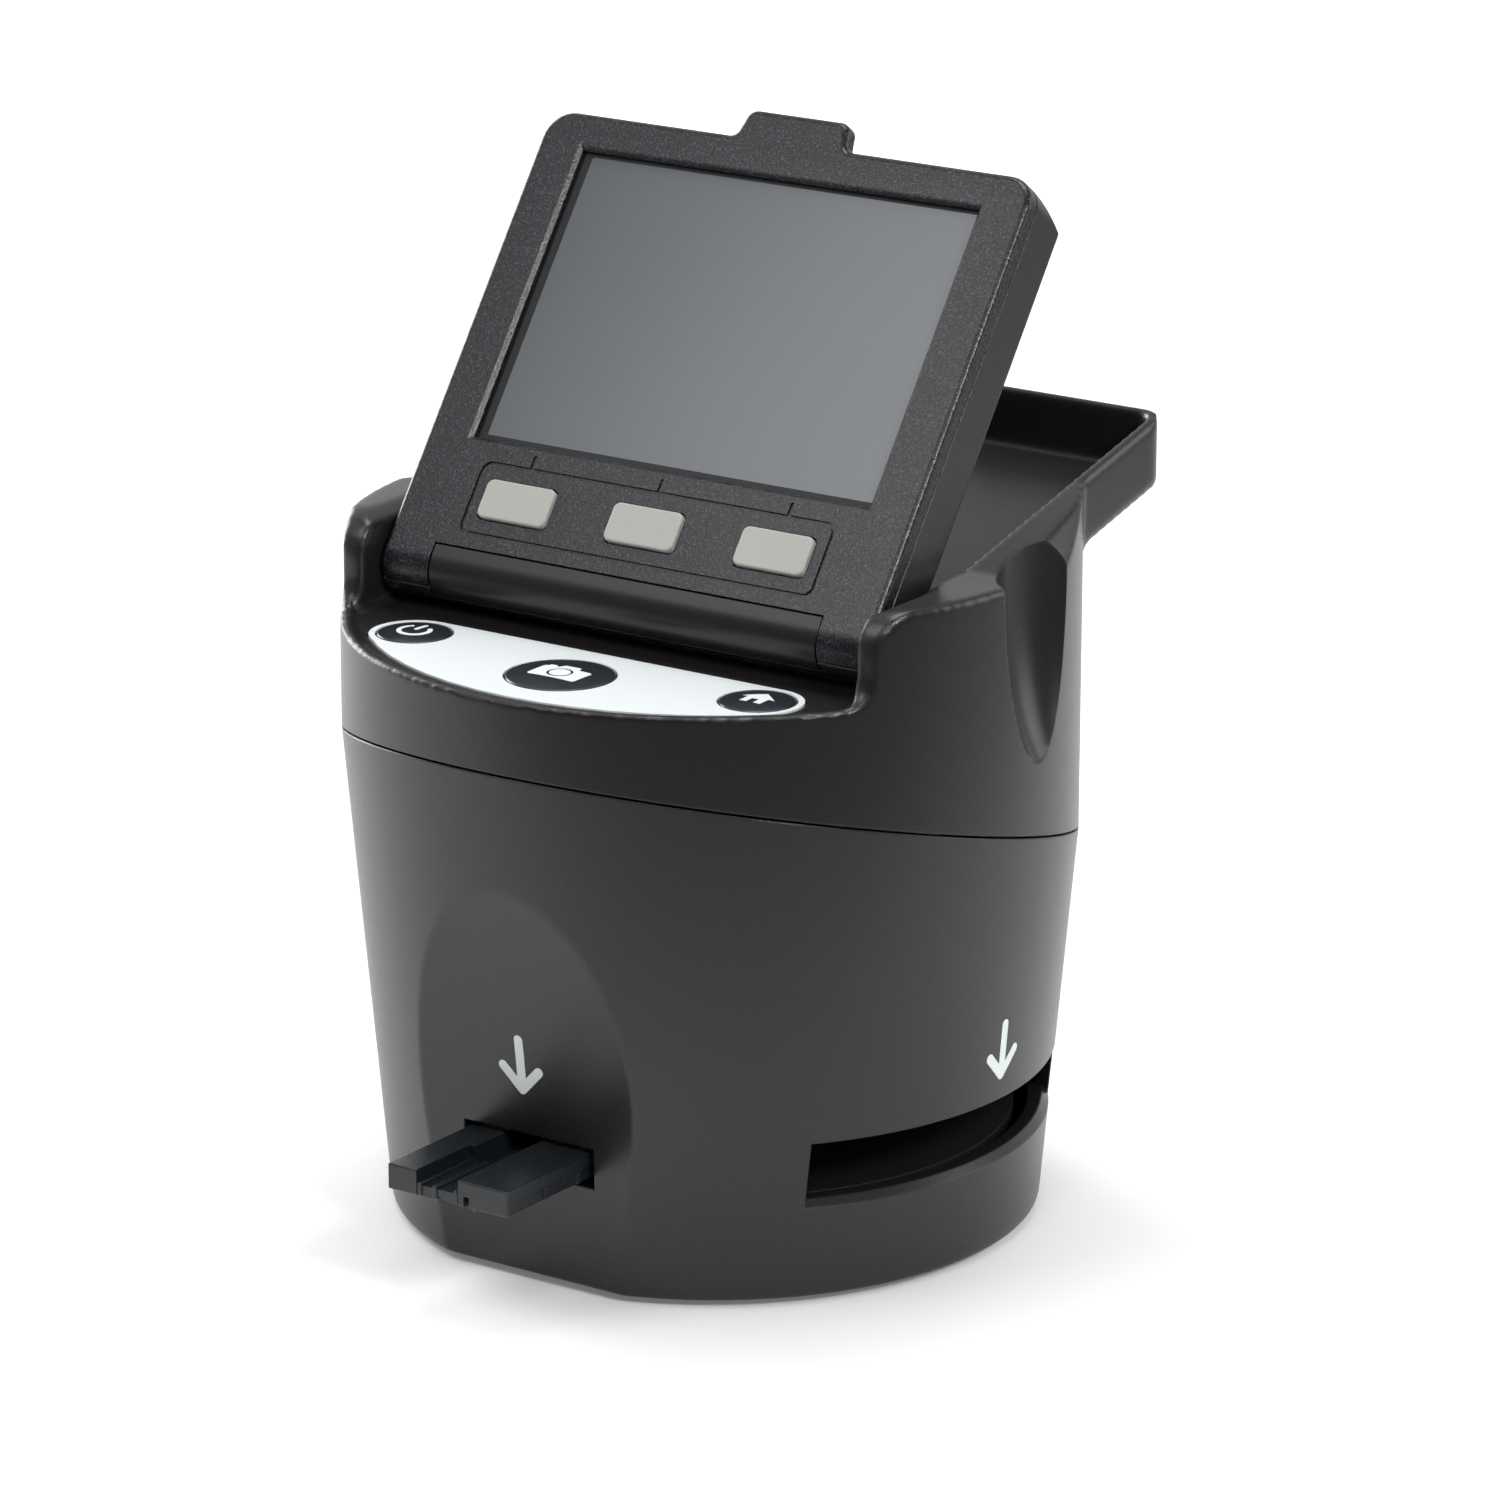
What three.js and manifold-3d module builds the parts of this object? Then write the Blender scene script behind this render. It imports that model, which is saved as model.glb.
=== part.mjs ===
// Film negative scanner with a tilting screen.
// Millimetres, +Z up, front towards -Y. The round body's axis is the Z axis until the last
// lines, which move the origin to the middle of the underside.
import * as THREE from 'three';
import { mergeVertices } from 'three/addons/utils/BufferGeometryUtils.js';
import Module from 'manifold-3d';

const wasm = await Module();
wasm.setup();

const degree = Math.PI / 180;
const square = 90 * degree;

// Clearance between pieces that seat on each other, the reach of cuts, and the weld distance
const seat = 0.3;
const overrun = 2;
const cutReach = 200;
const weld = 0.001;

// Facets of large rounds, small rounds and corner arcs
const bodySteps = 64;
const smallSteps = 12;
const cornerSteps = 4;

// Round body
const bodyRadius = 60;
const bodyTaper = 6.5;
const wall = 2.2;
const bodyBottom = 1.2;
const seamHeight = 72.64;
const seamTilt = 14 * degree;
const seamGap = 0.4;
const lipHeight = 2;
const lipDepth = 4;
const lipWall = 1.3;
const backCut = 1.9;
const backStep = 0.5;

// Arch recess in the front of the lower housing
const archBite = 4.2;
const archDraft = 2.6 * degree;
const archBend = 24;
const archRadius = 171;
const archTurn = 18 * degree;

// Tray slot and the two curved adapter openings
const slotHalfWidth = 12.8;
const slotLow = 18.7;
const slotHigh = 25.5;
const gateLow = 18.1;
const gateHigh = 28;
const gateEnd = 19.5;
const gateChamfer = 1.3;
const sillWidth = 3.6;
const sillThick = 3.6;

// Socket bay at the back
const boardCornerGap = 0.59;
const bayHalfWidth = 22;
const bayLow = 39;
const bayHigh = 56;

// Upper housing
const rimRise = 27.66;
const rimWall = 1.8;
const rimLip = 1;
const deck = 2;
const earAhead = 9.85;
const earRise = 14.7;
const earRound = 7;
const earFillet = 4.5;
const earStep = 0.5;
const earWall = 2;
const earPocket = 19.4;
const earChamferDrop = 1.6;
const earChamferWidth = 3.2;

// Hinge axis and screen case
const hingeShare = 0.33416667;
const hingeRise = 6.17;
const screenLean = 35.8 * degree;
const earSide = 12.3;
const screenThick = 11.1;
const foldReach = 2.75;
const screenCorner = 5.2;
const screenWall = 1.8;
const screenSideGap = 0.6;
const bezelDepth = 2.8;
const bezelPlate = 1.3;
const backSetIn = 0.4;
const backChamferDrop = 4.1;
const tabHeight = 4.9;
const tabFootHalf = 10.5;
const tabTopHalf = 8;
const tabCorner = 2.2;

// Shelf that the screen folds into
const shelfTilt = 14 * degree;
const foldGap = 0.38;
const shelfWall = 1.6;
const shelfWallHeight = 9.3;
const shelfCorner = 4.5;
const shelfFront = 8;
const rampDrop = 0.4;
const tabNotchHalf = 12;
const tabNotchDepth = 1.6;

// Finger flutes in the sides, and the crown behind them that falls away from the shelf
const fluteOut = 6.1;
const fluteY = 5.2;
const fluteDepth = 14.6;
const fluteWidth = 13;
const fluteLength = 35.2;
const fluteRise = 1;
const crownFront = 9;
const crownDrop = 4.5;
const crownRise = 12;

// Control panel
const sideButtonShares = [0.56, 0.58333333];
const sideButtonRadius = 6.1;
const captureSetback = 18.9;
const captureRadius = 8.8;
const plateEnd = 7.4;
const plateInset = 4.7;
const plateThick = 0.8;
const plateSink = 0.9;
const buttonGap = 0.35;
const buttonRise = 0.7;
const buttonDome = 0.5;
const buttonFlange = 1.1;
const buttonFlangeThick = 1;
const buttonStem = 1.8;
const buttonStemLength = 0.8;
const buttonTravel = 0.8;
const domeSteps = 3;

// Control board and its switches
const boardThick = 1.6;
const controlSideMargin = 8.4;
const controlBackMargin = 8;
const controlFrontMargin = 8.9;
const controlGap = 5;
const switchHalf = 3;
const switchBody = 2.4;
const plungerRadius = 1.6;
const plungerHeight = 0.9;
const boardPostRadius = 2.2;
const boardPostAhead = 5.9;
const boardPostBehind = 10.1;

// Display window and keys
const bezelSide = 10.1;
const glassLow = 22.3;
const bezelTop = 6.65;
const glassRecess = 1.6;
const glassThick = 1.1;
const glassLap = 1.2;
const windowFlare = 1.4;
const moduleThick = 3;
const moduleLap = 2;
const keyPitchShare = 0.67;
const keyHalfWidth = 6.75;
const keyLow = 7.3;
const keyHigh = 14.1;
const keyCorner = 1.3;
const keyRise = 0.8;
const keyGap = 0.25;
const keyFlange = 0.9;
const keyFlangeThick = 0.8;
const keyStem = 0.5;
const keyTravel = 0.6;
const keyBoardSide = 7.8;
const keyBoardLow = 5;
const keyBoardHigh = 17;
const keyBoardThick = 1;
const keyPostRadius = 1.5;
const contactRadius = 2;
const contactHeight = 0.7;
const grooveSide = 2.75;
const grooveLow = 4.2;
const grooveHigh = 17.2;
const grooveCorner = 2;
const grooveWidth = 0.6;
const grooveDepth = 0.4;
const tickHigh = 19.7;

// Hinge cover strip, pins, friction bushes and screen screws
const coverInset = 9.8;
const coverTop = 1.8;
const coverThick = 0.75;
const coverGap = 0.25;
const coverSweep = 82 * degree;
const pinRadius = 1.8;
const pinHeadRadius = 3.2;
const pinHeadThick = 1.4;
const pinReach = 8.5;
const bushLength = 6.5;
const screenScrewInset = 4;
const screenScrewLow = 12;
const screenScrewDrop = 13.3;
const screenBossRadius = 1.9;
const screenScrewRadius = 0.8;
const screenScrewHead = 1.7;
const screenScrewHeadThick = 0.6;
const screenScrewLength = 6.5;

// Base plate, feet and screws
const plateBottom = 1;
const basePlate = 2;
const footRadius = 5.5;
const footShare = 0.57943925;
const footPocket = 1.2;
const bossInset = 10.6;
const bossY = 20;
const bossRadius = 5;
const screwRadius = 1.2;
const screwHeadRadius = 2.6;
const screwHeadThick = 0.8;
const screwLength = 10;

// Film stage, light tunnel, diffuser and backlight
const stageGap = 4.3;
const stageTop = 17.4;
const stagePlate = 2;
const stageFrontGap = 5.3;
const windowHalfX = 18.5;
const windowHalfY = 12.5;
const ledge = 1.6;
const tunnelWall = 1.4;
const diffuserThick = 1.5;
const lightBoardLow = 5;
const lightBoardEdge = 1.5;
const lampRadius = 1.8;
const lampHeight = 1;
const lampPitchX = 12;
const lampPitchY = 12;
const standRadius = 2.5;

// Tray rails and the posts that carry the film guide
const railWidth = 3;
const fenceWidth = 1.8;
const fenceRise = 1.2;
const fenceGap = 0.35;
const railInset = 0.5;
const railEnd = 15.2;
const railWindowGap = 1.5;
const postX = 21;
const postInset = 10.2;
const postRadius = 3;

// Film guide, lens tower and sensor
const guideGap = 0.6;
const guidePlate = 2;
const guideHalfX = 27;
const guideMargin = 4;
const towerFoot = 25;
const towerFootThick = 2;
const towerShoulder = 23.5;
const towerTaperLow = 40;
const towerTaperHigh = 56;
const towerTop = 78;
const towerWall = 1.8;
const towerFlange = 17;
const lensRadius = 9.5;
const lensLow = 58;
const lensHigh = 70;
const lensBore = 5;
const lensLip = 7;
const lensLipDepth = 1.5;
const sensorHalf = 15;
const sensorChipHalf = 4;
const sensorChipThick = 1.2;

// Main board and its sockets
const mainLow = 46;
const mainHalfX = 24;
const mainFront = 25;
const mainPostX = 21;
const mainPostInset = 4;
const mainPostShift = 1.25;
const socketWall = 0.5;
const socketGap = 0.35;
const socketInset = 0.2;
const usbX = -13;
const usbHalf = 3.9;
const usbHeight = 4;
const usbDepth = 9;
const videoX = 5;
const videoHalf = 5.6;
const videoHeight = 3.4;
const videoDepth = 8;
const cardX = 0;
const cardHalf = 13;
const cardHeight = 3;
const cardInset = 4.5;

// Film tray and its stop spring
const trayHalfWidth = 11.8;
const trayTop = 24.6;
const trayHeight = 4.3;
const trayReach = 11.9;
const trayOverRail = 2;
const channelLeft = -6.1;
const channelRight = 2.2;
const channelDepth = 2.5;
const channelStep = 14;
const channelNarrow = 1.1;
const channelDrop = 0.7;
const keyNotchLeft = 3.2;
const keyNotchWidth = 1.1;
const keyNotchHeight = 1.8;
const ridgeShares = [0.09, 0.48, 0.9];
const ridgeWidth = 0.6;
const ridgeHeight = 0.35;
const nubShares = [0.415, 0.73];
const nubWidth = 1.2;
const nubHeight = 0.45;
const filmWindowHalfX = 3;
const filmWindowHalfY = 4.5;
const panelDepth = 0.4;
const panelHeight = 2.2;
const panelLength = 8;
const panelRib = 0.9;
const panelCount = 8;
const stopThick = 0.5;
const stopHalfWidth = 6;
const stopFoot = 6;
const stopHigh = 26;

// Places that follow from the sizes above
const baseRadius = bodyRadius - bodyTaper;
const taper = (bodyRadius - baseRadius) / seamHeight;
const taperY = bodyRadius * taper * Math.tan(seamTilt);
const taperRadius = (z) => baseRadius + taper * z;
const backReach = bodyRadius - backCut;
const backFlat = backReach - backStep;
const archFoot = baseRadius - archBite;
const gateHalfLength = baseRadius - gateEnd;
const rimTop = seamHeight + rimRise;
const wellFloor = rimTop - rimLip;
const earTop = rimTop + earRise;
const hingeY = -bodyRadius * hingeShare;
const hingeZ = rimTop + hingeRise;
const earFront = hingeY - earAhead;
const earPocketBack = earFront + earPocket;
const fluteX = bodyRadius + fluteOut;
const fluteTop = earTop + fluteRise;
const crownFoot = earTop - crownDrop;
const crownTop = earTop + crownRise;
const screenHalfWidth = bodyRadius - earSide;
const bayHalf = screenHalfWidth + screenSideGap;
const shelfHalf = bayHalf + earWall;
const shelfInnerBack = backReach - shelfWall;
const screenTop = shelfInnerBack - hingeY + foldReach;
const halfThick = screenThick / 2;
const floorDrop = halfThick + foldGap;
const glassHalfWidth = screenHalfWidth - bezelSide;
const glassHigh = screenTop - bezelTop;
const keyPitch = glassHalfWidth * keyPitchShare;
const keyBoardHalf = keyPitch + keyBoardSide;
const grooveHalfWidth = keyPitch + keyHalfWidth + grooveSide;
const coverHalfWidth = screenHalfWidth - coverInset;
const screenScrewX = screenHalfWidth - screenScrewInset;
const screenScrewHigh = screenTop - screenScrewDrop;
const sideButtonX = bodyRadius * sideButtonShares[0];
const sideButtonY = -bodyRadius * sideButtonShares[1];
const captureY = captureSetback - bodyRadius;
const plateFront = bodyRadius - plateInset;
const controlHalfWidth = sideButtonX + controlSideMargin;
const controlBack = sideButtonY + controlBackMargin;
const controlFront = captureY - controlFrontMargin;
const controlRadius = bodyRadius - controlGap;
const boardPostX = (captureRadius + sideButtonX - sideButtonRadius) / 2;
const boardPostFront = captureY - boardPostAhead;
const boardPostBack = captureY + boardPostBehind;
const footPlace = baseRadius * footShare;
const bossX = baseRadius - bossInset;
const stageRadius = baseRadius - stageGap;
const stageFront = stageFrontGap - archFoot;
const railFront = stageFront + railInset;
const railBack = stageRadius - railEnd;
const postY = stageRadius - postInset;
const guideHalfY = postY + guideMargin;
const trayFront = -bodyRadius - trayReach;
const trayBack = railBack + trayOverRail;
const boardReach = Math.sqrt((taperRadius(mainLow) - wall) ** 2 - (mainHalfX + boardCornerGap) ** 2);
const bayPlane = taperY + boardReach + seat + wall;
const mainPostFront = mainFront + mainPostInset;
const mainPostBack = (mainFront + bayPlane) / 2 - mainPostShift;
const cardDepth = bayPlane - mainFront - cardInset;
const deckUnder = wellFloor - deck;
const parting = bezelDepth - halfThick;
const trayLow = trayTop - trayHeight;
const stageLow = stageTop - stagePlate;
const guideLow = gateHigh + guideGap;
const guideTop = guideLow + guidePlate;
const plateTop = plateBottom + basePlate;
const lightBoardTop = lightBoardLow + boardThick;
const flangeTop = deckUnder - seat;
const flangeLow = flangeTop - buttonFlangeThick;
const stemLow = flangeLow - buttonStemLength;
const plungerTop = stemLow - buttonTravel - seat;
const switchLow = plungerTop - plungerHeight - switchBody;
const controlTop = switchLow - seat;
const barrelBore = halfThick - screenWall;
const bezelInner = bezelPlate - halfThick;
const keyFlangeFront = bezelInner + seat;
const keyBack = keyFlangeFront + keyFlangeThick + keyStem;
const keyBoardFront = keyBack + keyTravel + seat + contactHeight;
const glassFront = glassRecess - halfThick;
const moduleFront = glassFront + glassThick + seat;

const floorZ = (y) => hingeZ - floorDrop * Math.cos(shelfTilt)
  + Math.tan(shelfTilt) * (y - hingeY - floorDrop * Math.sin(shelfTilt));
const wallTopZ = (y) => floorZ(y) + shelfWallHeight / Math.cos(shelfTilt);
const underZ = (y) => floorZ(y) - deck / Math.cos(shelfTilt);
const seamZ = (y) => seamHeight - Math.tan(seamTilt) * (y - taperY);

// A closed solid from a geometry whose shared corners are merged
function solid(geometry) {
  geometry.deleteAttribute('normal');
  geometry.deleteAttribute('uv');
  const merged = mergeVertices(geometry, weld);
  const corners = merged.index.array;
  const kept = [];
  for (let i = 0; i < corners.length; i += 3) {
    const [a, b, c] = corners.slice(i, i + 3);
    if (a !== b && b !== c && c !== a) kept.push(a, b, c);
  }
  const vertProperties = new Float32Array(merged.attributes.position.array);
  const triVerts = new Uint32Array(kept);
  return new wasm.Manifold(new wasm.Mesh({ numProp: 3, vertProperties, triVerts }));
}

function polygon(points) {
  return new THREE.Shape(points.map(([a, b]) => new THREE.Vector2(a, b)));
}

function sweep(shape, depth) {
  return new THREE.ExtrudeGeometry(shape, { depth, bevelEnabled: false, curveSegments: cornerSteps });
}

// Section in X and Y, swept along Z
function prismZ(shape, low, high) {
  return solid(sweep(shape, high - low).translate(0, 0, low));
}

// Section in X and Z, swept along Y
function prismY(shape, front, back) {
  return solid(sweep(shape, back - front).rotateX(square).translate(0, back, 0));
}

// Section in Y and Z, swept along X
function prismX(shape, from, to) {
  const alongX = new THREE.Matrix4().makeBasis(
    new THREE.Vector3(0, 1, 0), new THREE.Vector3(0, 0, 1), new THREE.Vector3(1, 0, 0));
  const start = Math.min(from, to);
  return solid(sweep(shape, Math.abs(to - from)).applyMatrix4(alongX).translate(start, 0, 0));
}

function box(fromX, toX, front, back, low, high) {
  const geometry = new THREE.BoxGeometry(Math.abs(toX - fromX), back - front, high - low);
  return solid(geometry.translate((fromX + toX) / 2, (front + back) / 2, (low + high) / 2));
}

// Profile of radius and height spun about Z, then moved
function spin(profile, steps, x, y) {
  const points = profile.map(([radius, height]) => new THREE.Vector2(radius, height));
  return solid(new THREE.LatheGeometry(points, steps).rotateX(square).translate(x, y, 0));
}

function rod(radius, low, high, x = 0, y = 0, steps = smallSteps) {
  return spin([[0, low], [radius, low], [radius, high], [0, high]], steps, x, y);
}

function roller(radius, length) {
  return new THREE.CylinderGeometry(radius, radius, length, smallSteps);
}

// Round bars along X and along Y
function rodX(radius, from, to, y, z) {
  const bar = roller(radius, Math.abs(to - from)).rotateZ(square);
  return solid(bar.translate((from + to) / 2, y, z));
}

function rodY(radius, front, back, x, z) {
  return solid(roller(radius, back - front).translate(x, (front + back) / 2, z));
}

// Profile of radius and distance, spun about an axis along X (away from the middle) or along Y
function spinX(profile, side, y, z) {
  const points = profile.map(([radius, reach]) => new THREE.Vector2(radius, reach));
  return solid(new THREE.LatheGeometry(points, smallSteps).rotateZ(-side * square).translate(0, y, z));
}

function spinY(profile, x, z) {
  const points = profile.map(([radius, reach]) => new THREE.Vector2(radius, reach));
  return solid(new THREE.LatheGeometry(points, smallSteps).translate(x, 0, z));
}

function roundedRect(left, rightEnd, low, high, radius) {
  const shape = new THREE.Shape();
  shape.moveTo(left + radius, low);
  shape.absarc(rightEnd - radius, low + radius, radius, -square, 0);
  shape.absarc(rightEnd - radius, high - radius, radius, 0, square);
  shape.absarc(left + radius, high - radius, radius, square, 2 * square);
  shape.absarc(left + radius, low + radius, radius, 2 * square, 3 * square);
  return shape;
}

function join(parts) {
  return parts.reduce((sum, part) => sum.add(part));
}

function cut(body, parts) {
  return parts.reduce((rest, part) => rest.subtract(part), body);
}

function bothSides(make) {
  return [-1, 1].map(make);
}

function fourCorners(x, y, make) {
  return [[-x, -y], [x, -y], [-x, y], [x, y]].map(([cornerX, cornerY]) => make(cornerX, cornerY));
}

// Tapered and straight drums of the body, inset from the outer face
function taperDrum(inset, low, high) {
  const ends = [taperRadius(low) - inset, taperRadius(high) - inset];
  return spin([[0, low], [ends[0], low], [ends[1], high], [0, high]], bodySteps, 0, taperY);
}

function bodyDrum(inset, low, high) {
  return rod(bodyRadius - inset, low, high, 0, 0, bodySteps);
}

// All space on one side of the tilted seam, moved up by an offset
function seamSide(offset, far) {
  const line = (y) => [y, seamZ(y) + offset];
  const section = [line(-cutReach), [-cutReach, far], [cutReach, far], line(cutReach)];
  return prismX(polygon(section), -cutReach, cutReach);
}

function aheadOf(y) {
  return box(-cutReach, cutReach, -cutReach, y, -cutReach, cutReach);
}

// Arch recess: a drafted foot, then one arc that runs out through the wall
function archSpace(inset) {
  const foot = inset - archFoot;
  const bend = foot - Math.tan(archDraft) * archBend;
  const centreY = bend - archRadius * Math.cos(archDraft);
  const centreZ = archBend - archRadius * Math.sin(archDraft);
  const end = archDraft + archTurn;
  const shape = new THREE.Shape();
  shape.moveTo(-cutReach, -overrun);
  shape.lineTo(foot + Math.tan(archDraft) * overrun, -overrun);
  shape.lineTo(bend, archBend);
  shape.absarc(centreY, centreZ, archRadius, archDraft, end);
  shape.lineTo(-cutReach, centreZ + archRadius * Math.sin(end));
  return prismX(shape, -bodyRadius, bodyRadius);
}

function gateCut(side) {
  const innerX = side * towerFoot;
  return box(innerX, side * cutReach, -gateHalfLength, gateHalfLength, gateLow, gateHigh);
}

function gateBevel() {
  const rim = taperRadius(gateLow);
  const profile = [
    [rim - gateChamfer, gateLow], [rim + overrun, gateLow - gateChamfer - overrun],
    [rim + overrun, gateLow + overrun], [rim - gateChamfer, gateLow + overrun],
    [rim - gateChamfer, gateLow],
  ];
  const ring = spin(profile, bodySteps, 0, taperY);
  return ring.intersect(box(-cutReach, cutReach, -gateHalfLength, gateHalfLength, 0, gateHigh));
}

function gateSill() {
  const outer = taperDrum(0, gateLow - sillThick, gateLow);
  return outer.subtract(taperDrum(sillWidth, gateLow - sillThick - overrun, gateLow + overrun));
}

function bayBlock() {
  const half = bayHalfWidth + wall;
  return box(-half, half, bayPlane - wall, cutReach, bayLow - wall, bayHigh + wall);
}

function lowerHollow(top) {
  const space = taperDrum(wall, -overrun, top).intersect(aheadOf(backFlat - wall));
  return cut(space, [archSpace(wall), gateSill(), bayBlock()]);
}

// Ring inside the wall that follows the tilted seam, with a flat back
function seamBand(outerInset, low, high) {
  const top = seamZ(-bodyRadius) + lipHeight + overrun;
  const innerInset = wall + seat + lipWall;
  const outer = bodyDrum(outerInset, bayLow, top).intersect(aheadOf(backFlat - outerInset));
  const inner = bodyDrum(innerInset, 0, top + overrun).intersect(aheadOf(backFlat - innerInset));
  const band = outer.subtract(inner).intersect(seamSide(high, -cutReach));
  return band.intersect(seamSide(low, cutReach));
}

// Tongue inside the upper housing, on a root that is part of the lower wall
function seamLip() {
  const root = seamBand(wall / 2, -lipDepth, -lipDepth / 4);
  return root.add(seamBand(wall + seat, -lipDepth / 2, lipHeight));
}

function socketHoles() {
  const hole = (x, half, low, high) => box(
    x - half - socketGap, x + half + socketGap, bayPlane - wall - overrun, bayPlane + overrun,
    low - socketGap, high + socketGap);
  const above = mainLow + boardThick + seat;
  const below = mainLow - seat;
  return [
    hole(usbX, usbHalf, above, above + usbHeight),
    hole(videoX, videoHalf, above, above + videoHeight),
    hole(cardX, cardHalf, below - cardHeight, below),
  ];
}

function lowerHousing() {
  const top = seamZ(-bodyRadius) + overrun;
  const outside = taperDrum(0, bodyBottom, top).intersect(aheadOf(backFlat));
  const bosses = fourCorners(bossX, bossY, (x, y) =>
    rod(bossRadius, plateTop + seat, stageLow - seat, x, taperY + y));
  const shell = join([
    outside.subtract(lowerHollow(top + overrun)).intersect(seamSide(-seamGap / 2, -cutReach)),
    seamLip(), ...bosses,
  ]);
  const slot = box(-slotHalfWidth, slotHalfWidth, -cutReach, -archFoot + 2 * wall, slotLow, slotHigh);
  const bay = box(-bayHalfWidth, bayHalfWidth, bayPlane, cutReach, bayLow, bayHigh);
  const pilots = fourCorners(bossX, bossY, (x, y) =>
    rod(screwRadius + seat, 0, plateBottom + screwHeadThick + screwLength + overrun, x, taperY + y));
  const openings = [archSpace(0), ...bothSides(gateCut), gateBevel(), slot, bay];
  return cut(shell, [...openings, ...socketHoles(), ...pilots]);
}

// Side view of the rim, the ears and the ramp up to the shelf's wall
function sideView(inset) {
  const rampStart = (earTop + rampDrop - wallTopZ(0)) / Math.tan(shelfTilt);
  const front = earFront + inset;
  const rim = rimTop - inset;
  const fillet = earFillet + inset;
  const round = earRound - inset;
  const shape = new THREE.Shape();
  shape.moveTo(-cutReach, 0);
  shape.lineTo(-cutReach, rim);
  shape.absarc(front - fillet, rim + fillet, fillet, -square, 0);
  shape.absarc(front + round, earTop - inset - round, round, 2 * square, square, true);
  shape.lineTo(rampStart, earTop - inset);
  shape.lineTo(cutReach, wallTopZ(cutReach) - rampDrop - inset);
  shape.lineTo(cutReach, 0);
  return prismX(shape, -cutReach, cutReach);
}

// Bullet-shaped scoop that deepens upwards and runs straight out at the top
function flute(side, grow) {
  const lengthShare = fluteLength + grow;
  const profile = [];
  for (let i = 0; i <= smallSteps / 2; i += 1) {
    const angle = -square + (square * i) / (smallSteps / 2);
    profile.push(new THREE.Vector2(Math.cos(angle), fluteTop + lengthShare * Math.sin(angle)));
  }
  profile[0].x = 0;
  profile.push(new THREE.Vector2(1, cutReach), new THREE.Vector2(0, cutReach));
  const geometry = new THREE.LatheGeometry(profile, 2 * smallSteps).rotateX(square);
  geometry.scale(fluteDepth + grow, fluteWidth + grow, 1);
  return solid(geometry.translate(side * fluteX, fluteY, 0));
}

function crownCut(side) {
  const inner = side * shelfHalf;
  const outer = side * bodyRadius;
  const beyond = side * (bodyRadius + overrun);
  const shape = polygon([[outer, crownFoot], [inner, crownTop], [inner, cutReach], [beyond, cutReach],
    [beyond, crownFoot]]);
  return prismY(shape, crownFront, cutReach);
}

function shelfBox() {
  const plan = roundedRect(-shelfHalf, shelfHalf, shelfFront, backReach, shelfCorner);
  const section = polygon([
    [-cutReach, underZ(-cutReach)], [cutReach, underZ(cutReach)],
    [cutReach, wallTopZ(cutReach)], [-cutReach, wallTopZ(-cutReach)],
  ]);
  return prismZ(plan, rimTop, cutReach).intersect(prismX(section, -bodyRadius, bodyRadius));
}

// Space above the panel floor and the shelf floor
function bayCut() {
  const knee = (wellFloor - floorZ(0)) / Math.tan(shelfTilt);
  const section = polygon([
    [-cutReach, wellFloor], [knee, wellFloor], [cutReach, floorZ(cutReach)],
    [cutReach, cutReach], [-cutReach, cutReach],
  ]);
  const corner = shelfCorner - shelfWall;
  const plan = roundedRect(-bayHalf, bayHalf, earFront - corner, shelfInnerBack, corner);
  const well = bodyDrum(rimWall, wellFloor, cutReach).intersect(aheadOf(earFront - earStep));
  const bay = prismZ(plan, deckUnder, cutReach).subtract(aheadOf(earFront - overrun));
  return bay.intersect(prismX(section, -bodyRadius, bodyRadius)).add(well);
}

function upperHollow() {
  const knee = (wellFloor - floorZ(0)) / Math.tan(shelfTilt);
  const section = polygon([
    [-cutReach, 0], [-cutReach, deckUnder], [knee, deckUnder], [cutReach, underZ(cutReach)], [cutReach, 0],
  ]);
  const drum = bodyDrum(wall, bayLow, cutReach).intersect(aheadOf(backFlat - wall));
  const room = drum.intersect(prismX(section, -bodyRadius, bodyRadius));
  const earRoom = drum.intersect(sideView(earWall));
  const pockets = bothSides((side) => earRoom.intersect(box(
    side * shelfHalf, side * bodyRadius, earFront + earWall, earPocketBack, deckUnder - overrun, cutReach)));
  return cut(join([room, ...pockets]), bothSides((side) => flute(side, wall)));
}

function panelOutline(grow) {
  const end = plateEnd + grow;
  const reach = plateFront - plateEnd;
  const centreY = (sideButtonX ** 2 + sideButtonY ** 2 - reach ** 2) / (2 * (reach + sideButtonY));
  const angle = Math.atan2(sideButtonY - centreY, sideButtonX);
  const shape = new THREE.Shape();
  shape.moveTo(-sideButtonX, sideButtonY + end);
  shape.absarc(sideButtonX, sideButtonY, end, square, angle, true);
  shape.absarc(0, centreY, plateFront + grow + centreY, angle, -2 * square - angle, true);
  shape.absarc(-sideButtonX, sideButtonY, end, -2 * square - angle, -3 * square, true);
  return shape;
}

function buttonHoles(low, high) {
  const hole = (radius, x, y) => rod(radius + buttonGap, low, high, x, y, 2 * smallSteps);
  const sides = bothSides((side) => hole(sideButtonRadius, side * sideButtonX, sideButtonY));
  return [...sides, hole(captureRadius, 0, captureY)];
}

function earBevel(side) {
  const slope = earChamferDrop / earChamferWidth;
  const low = [side * (bayHalf - overrun), earTop - earChamferDrop - overrun * slope];
  const high = [side * (bayHalf + earChamferWidth + overrun), earTop + overrun * slope];
  const shape = polygon([low, high, [side * (bayHalf - overrun), high[1]]]);
  return prismY(shape, earFront - overrun, fluteY);
}

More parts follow.
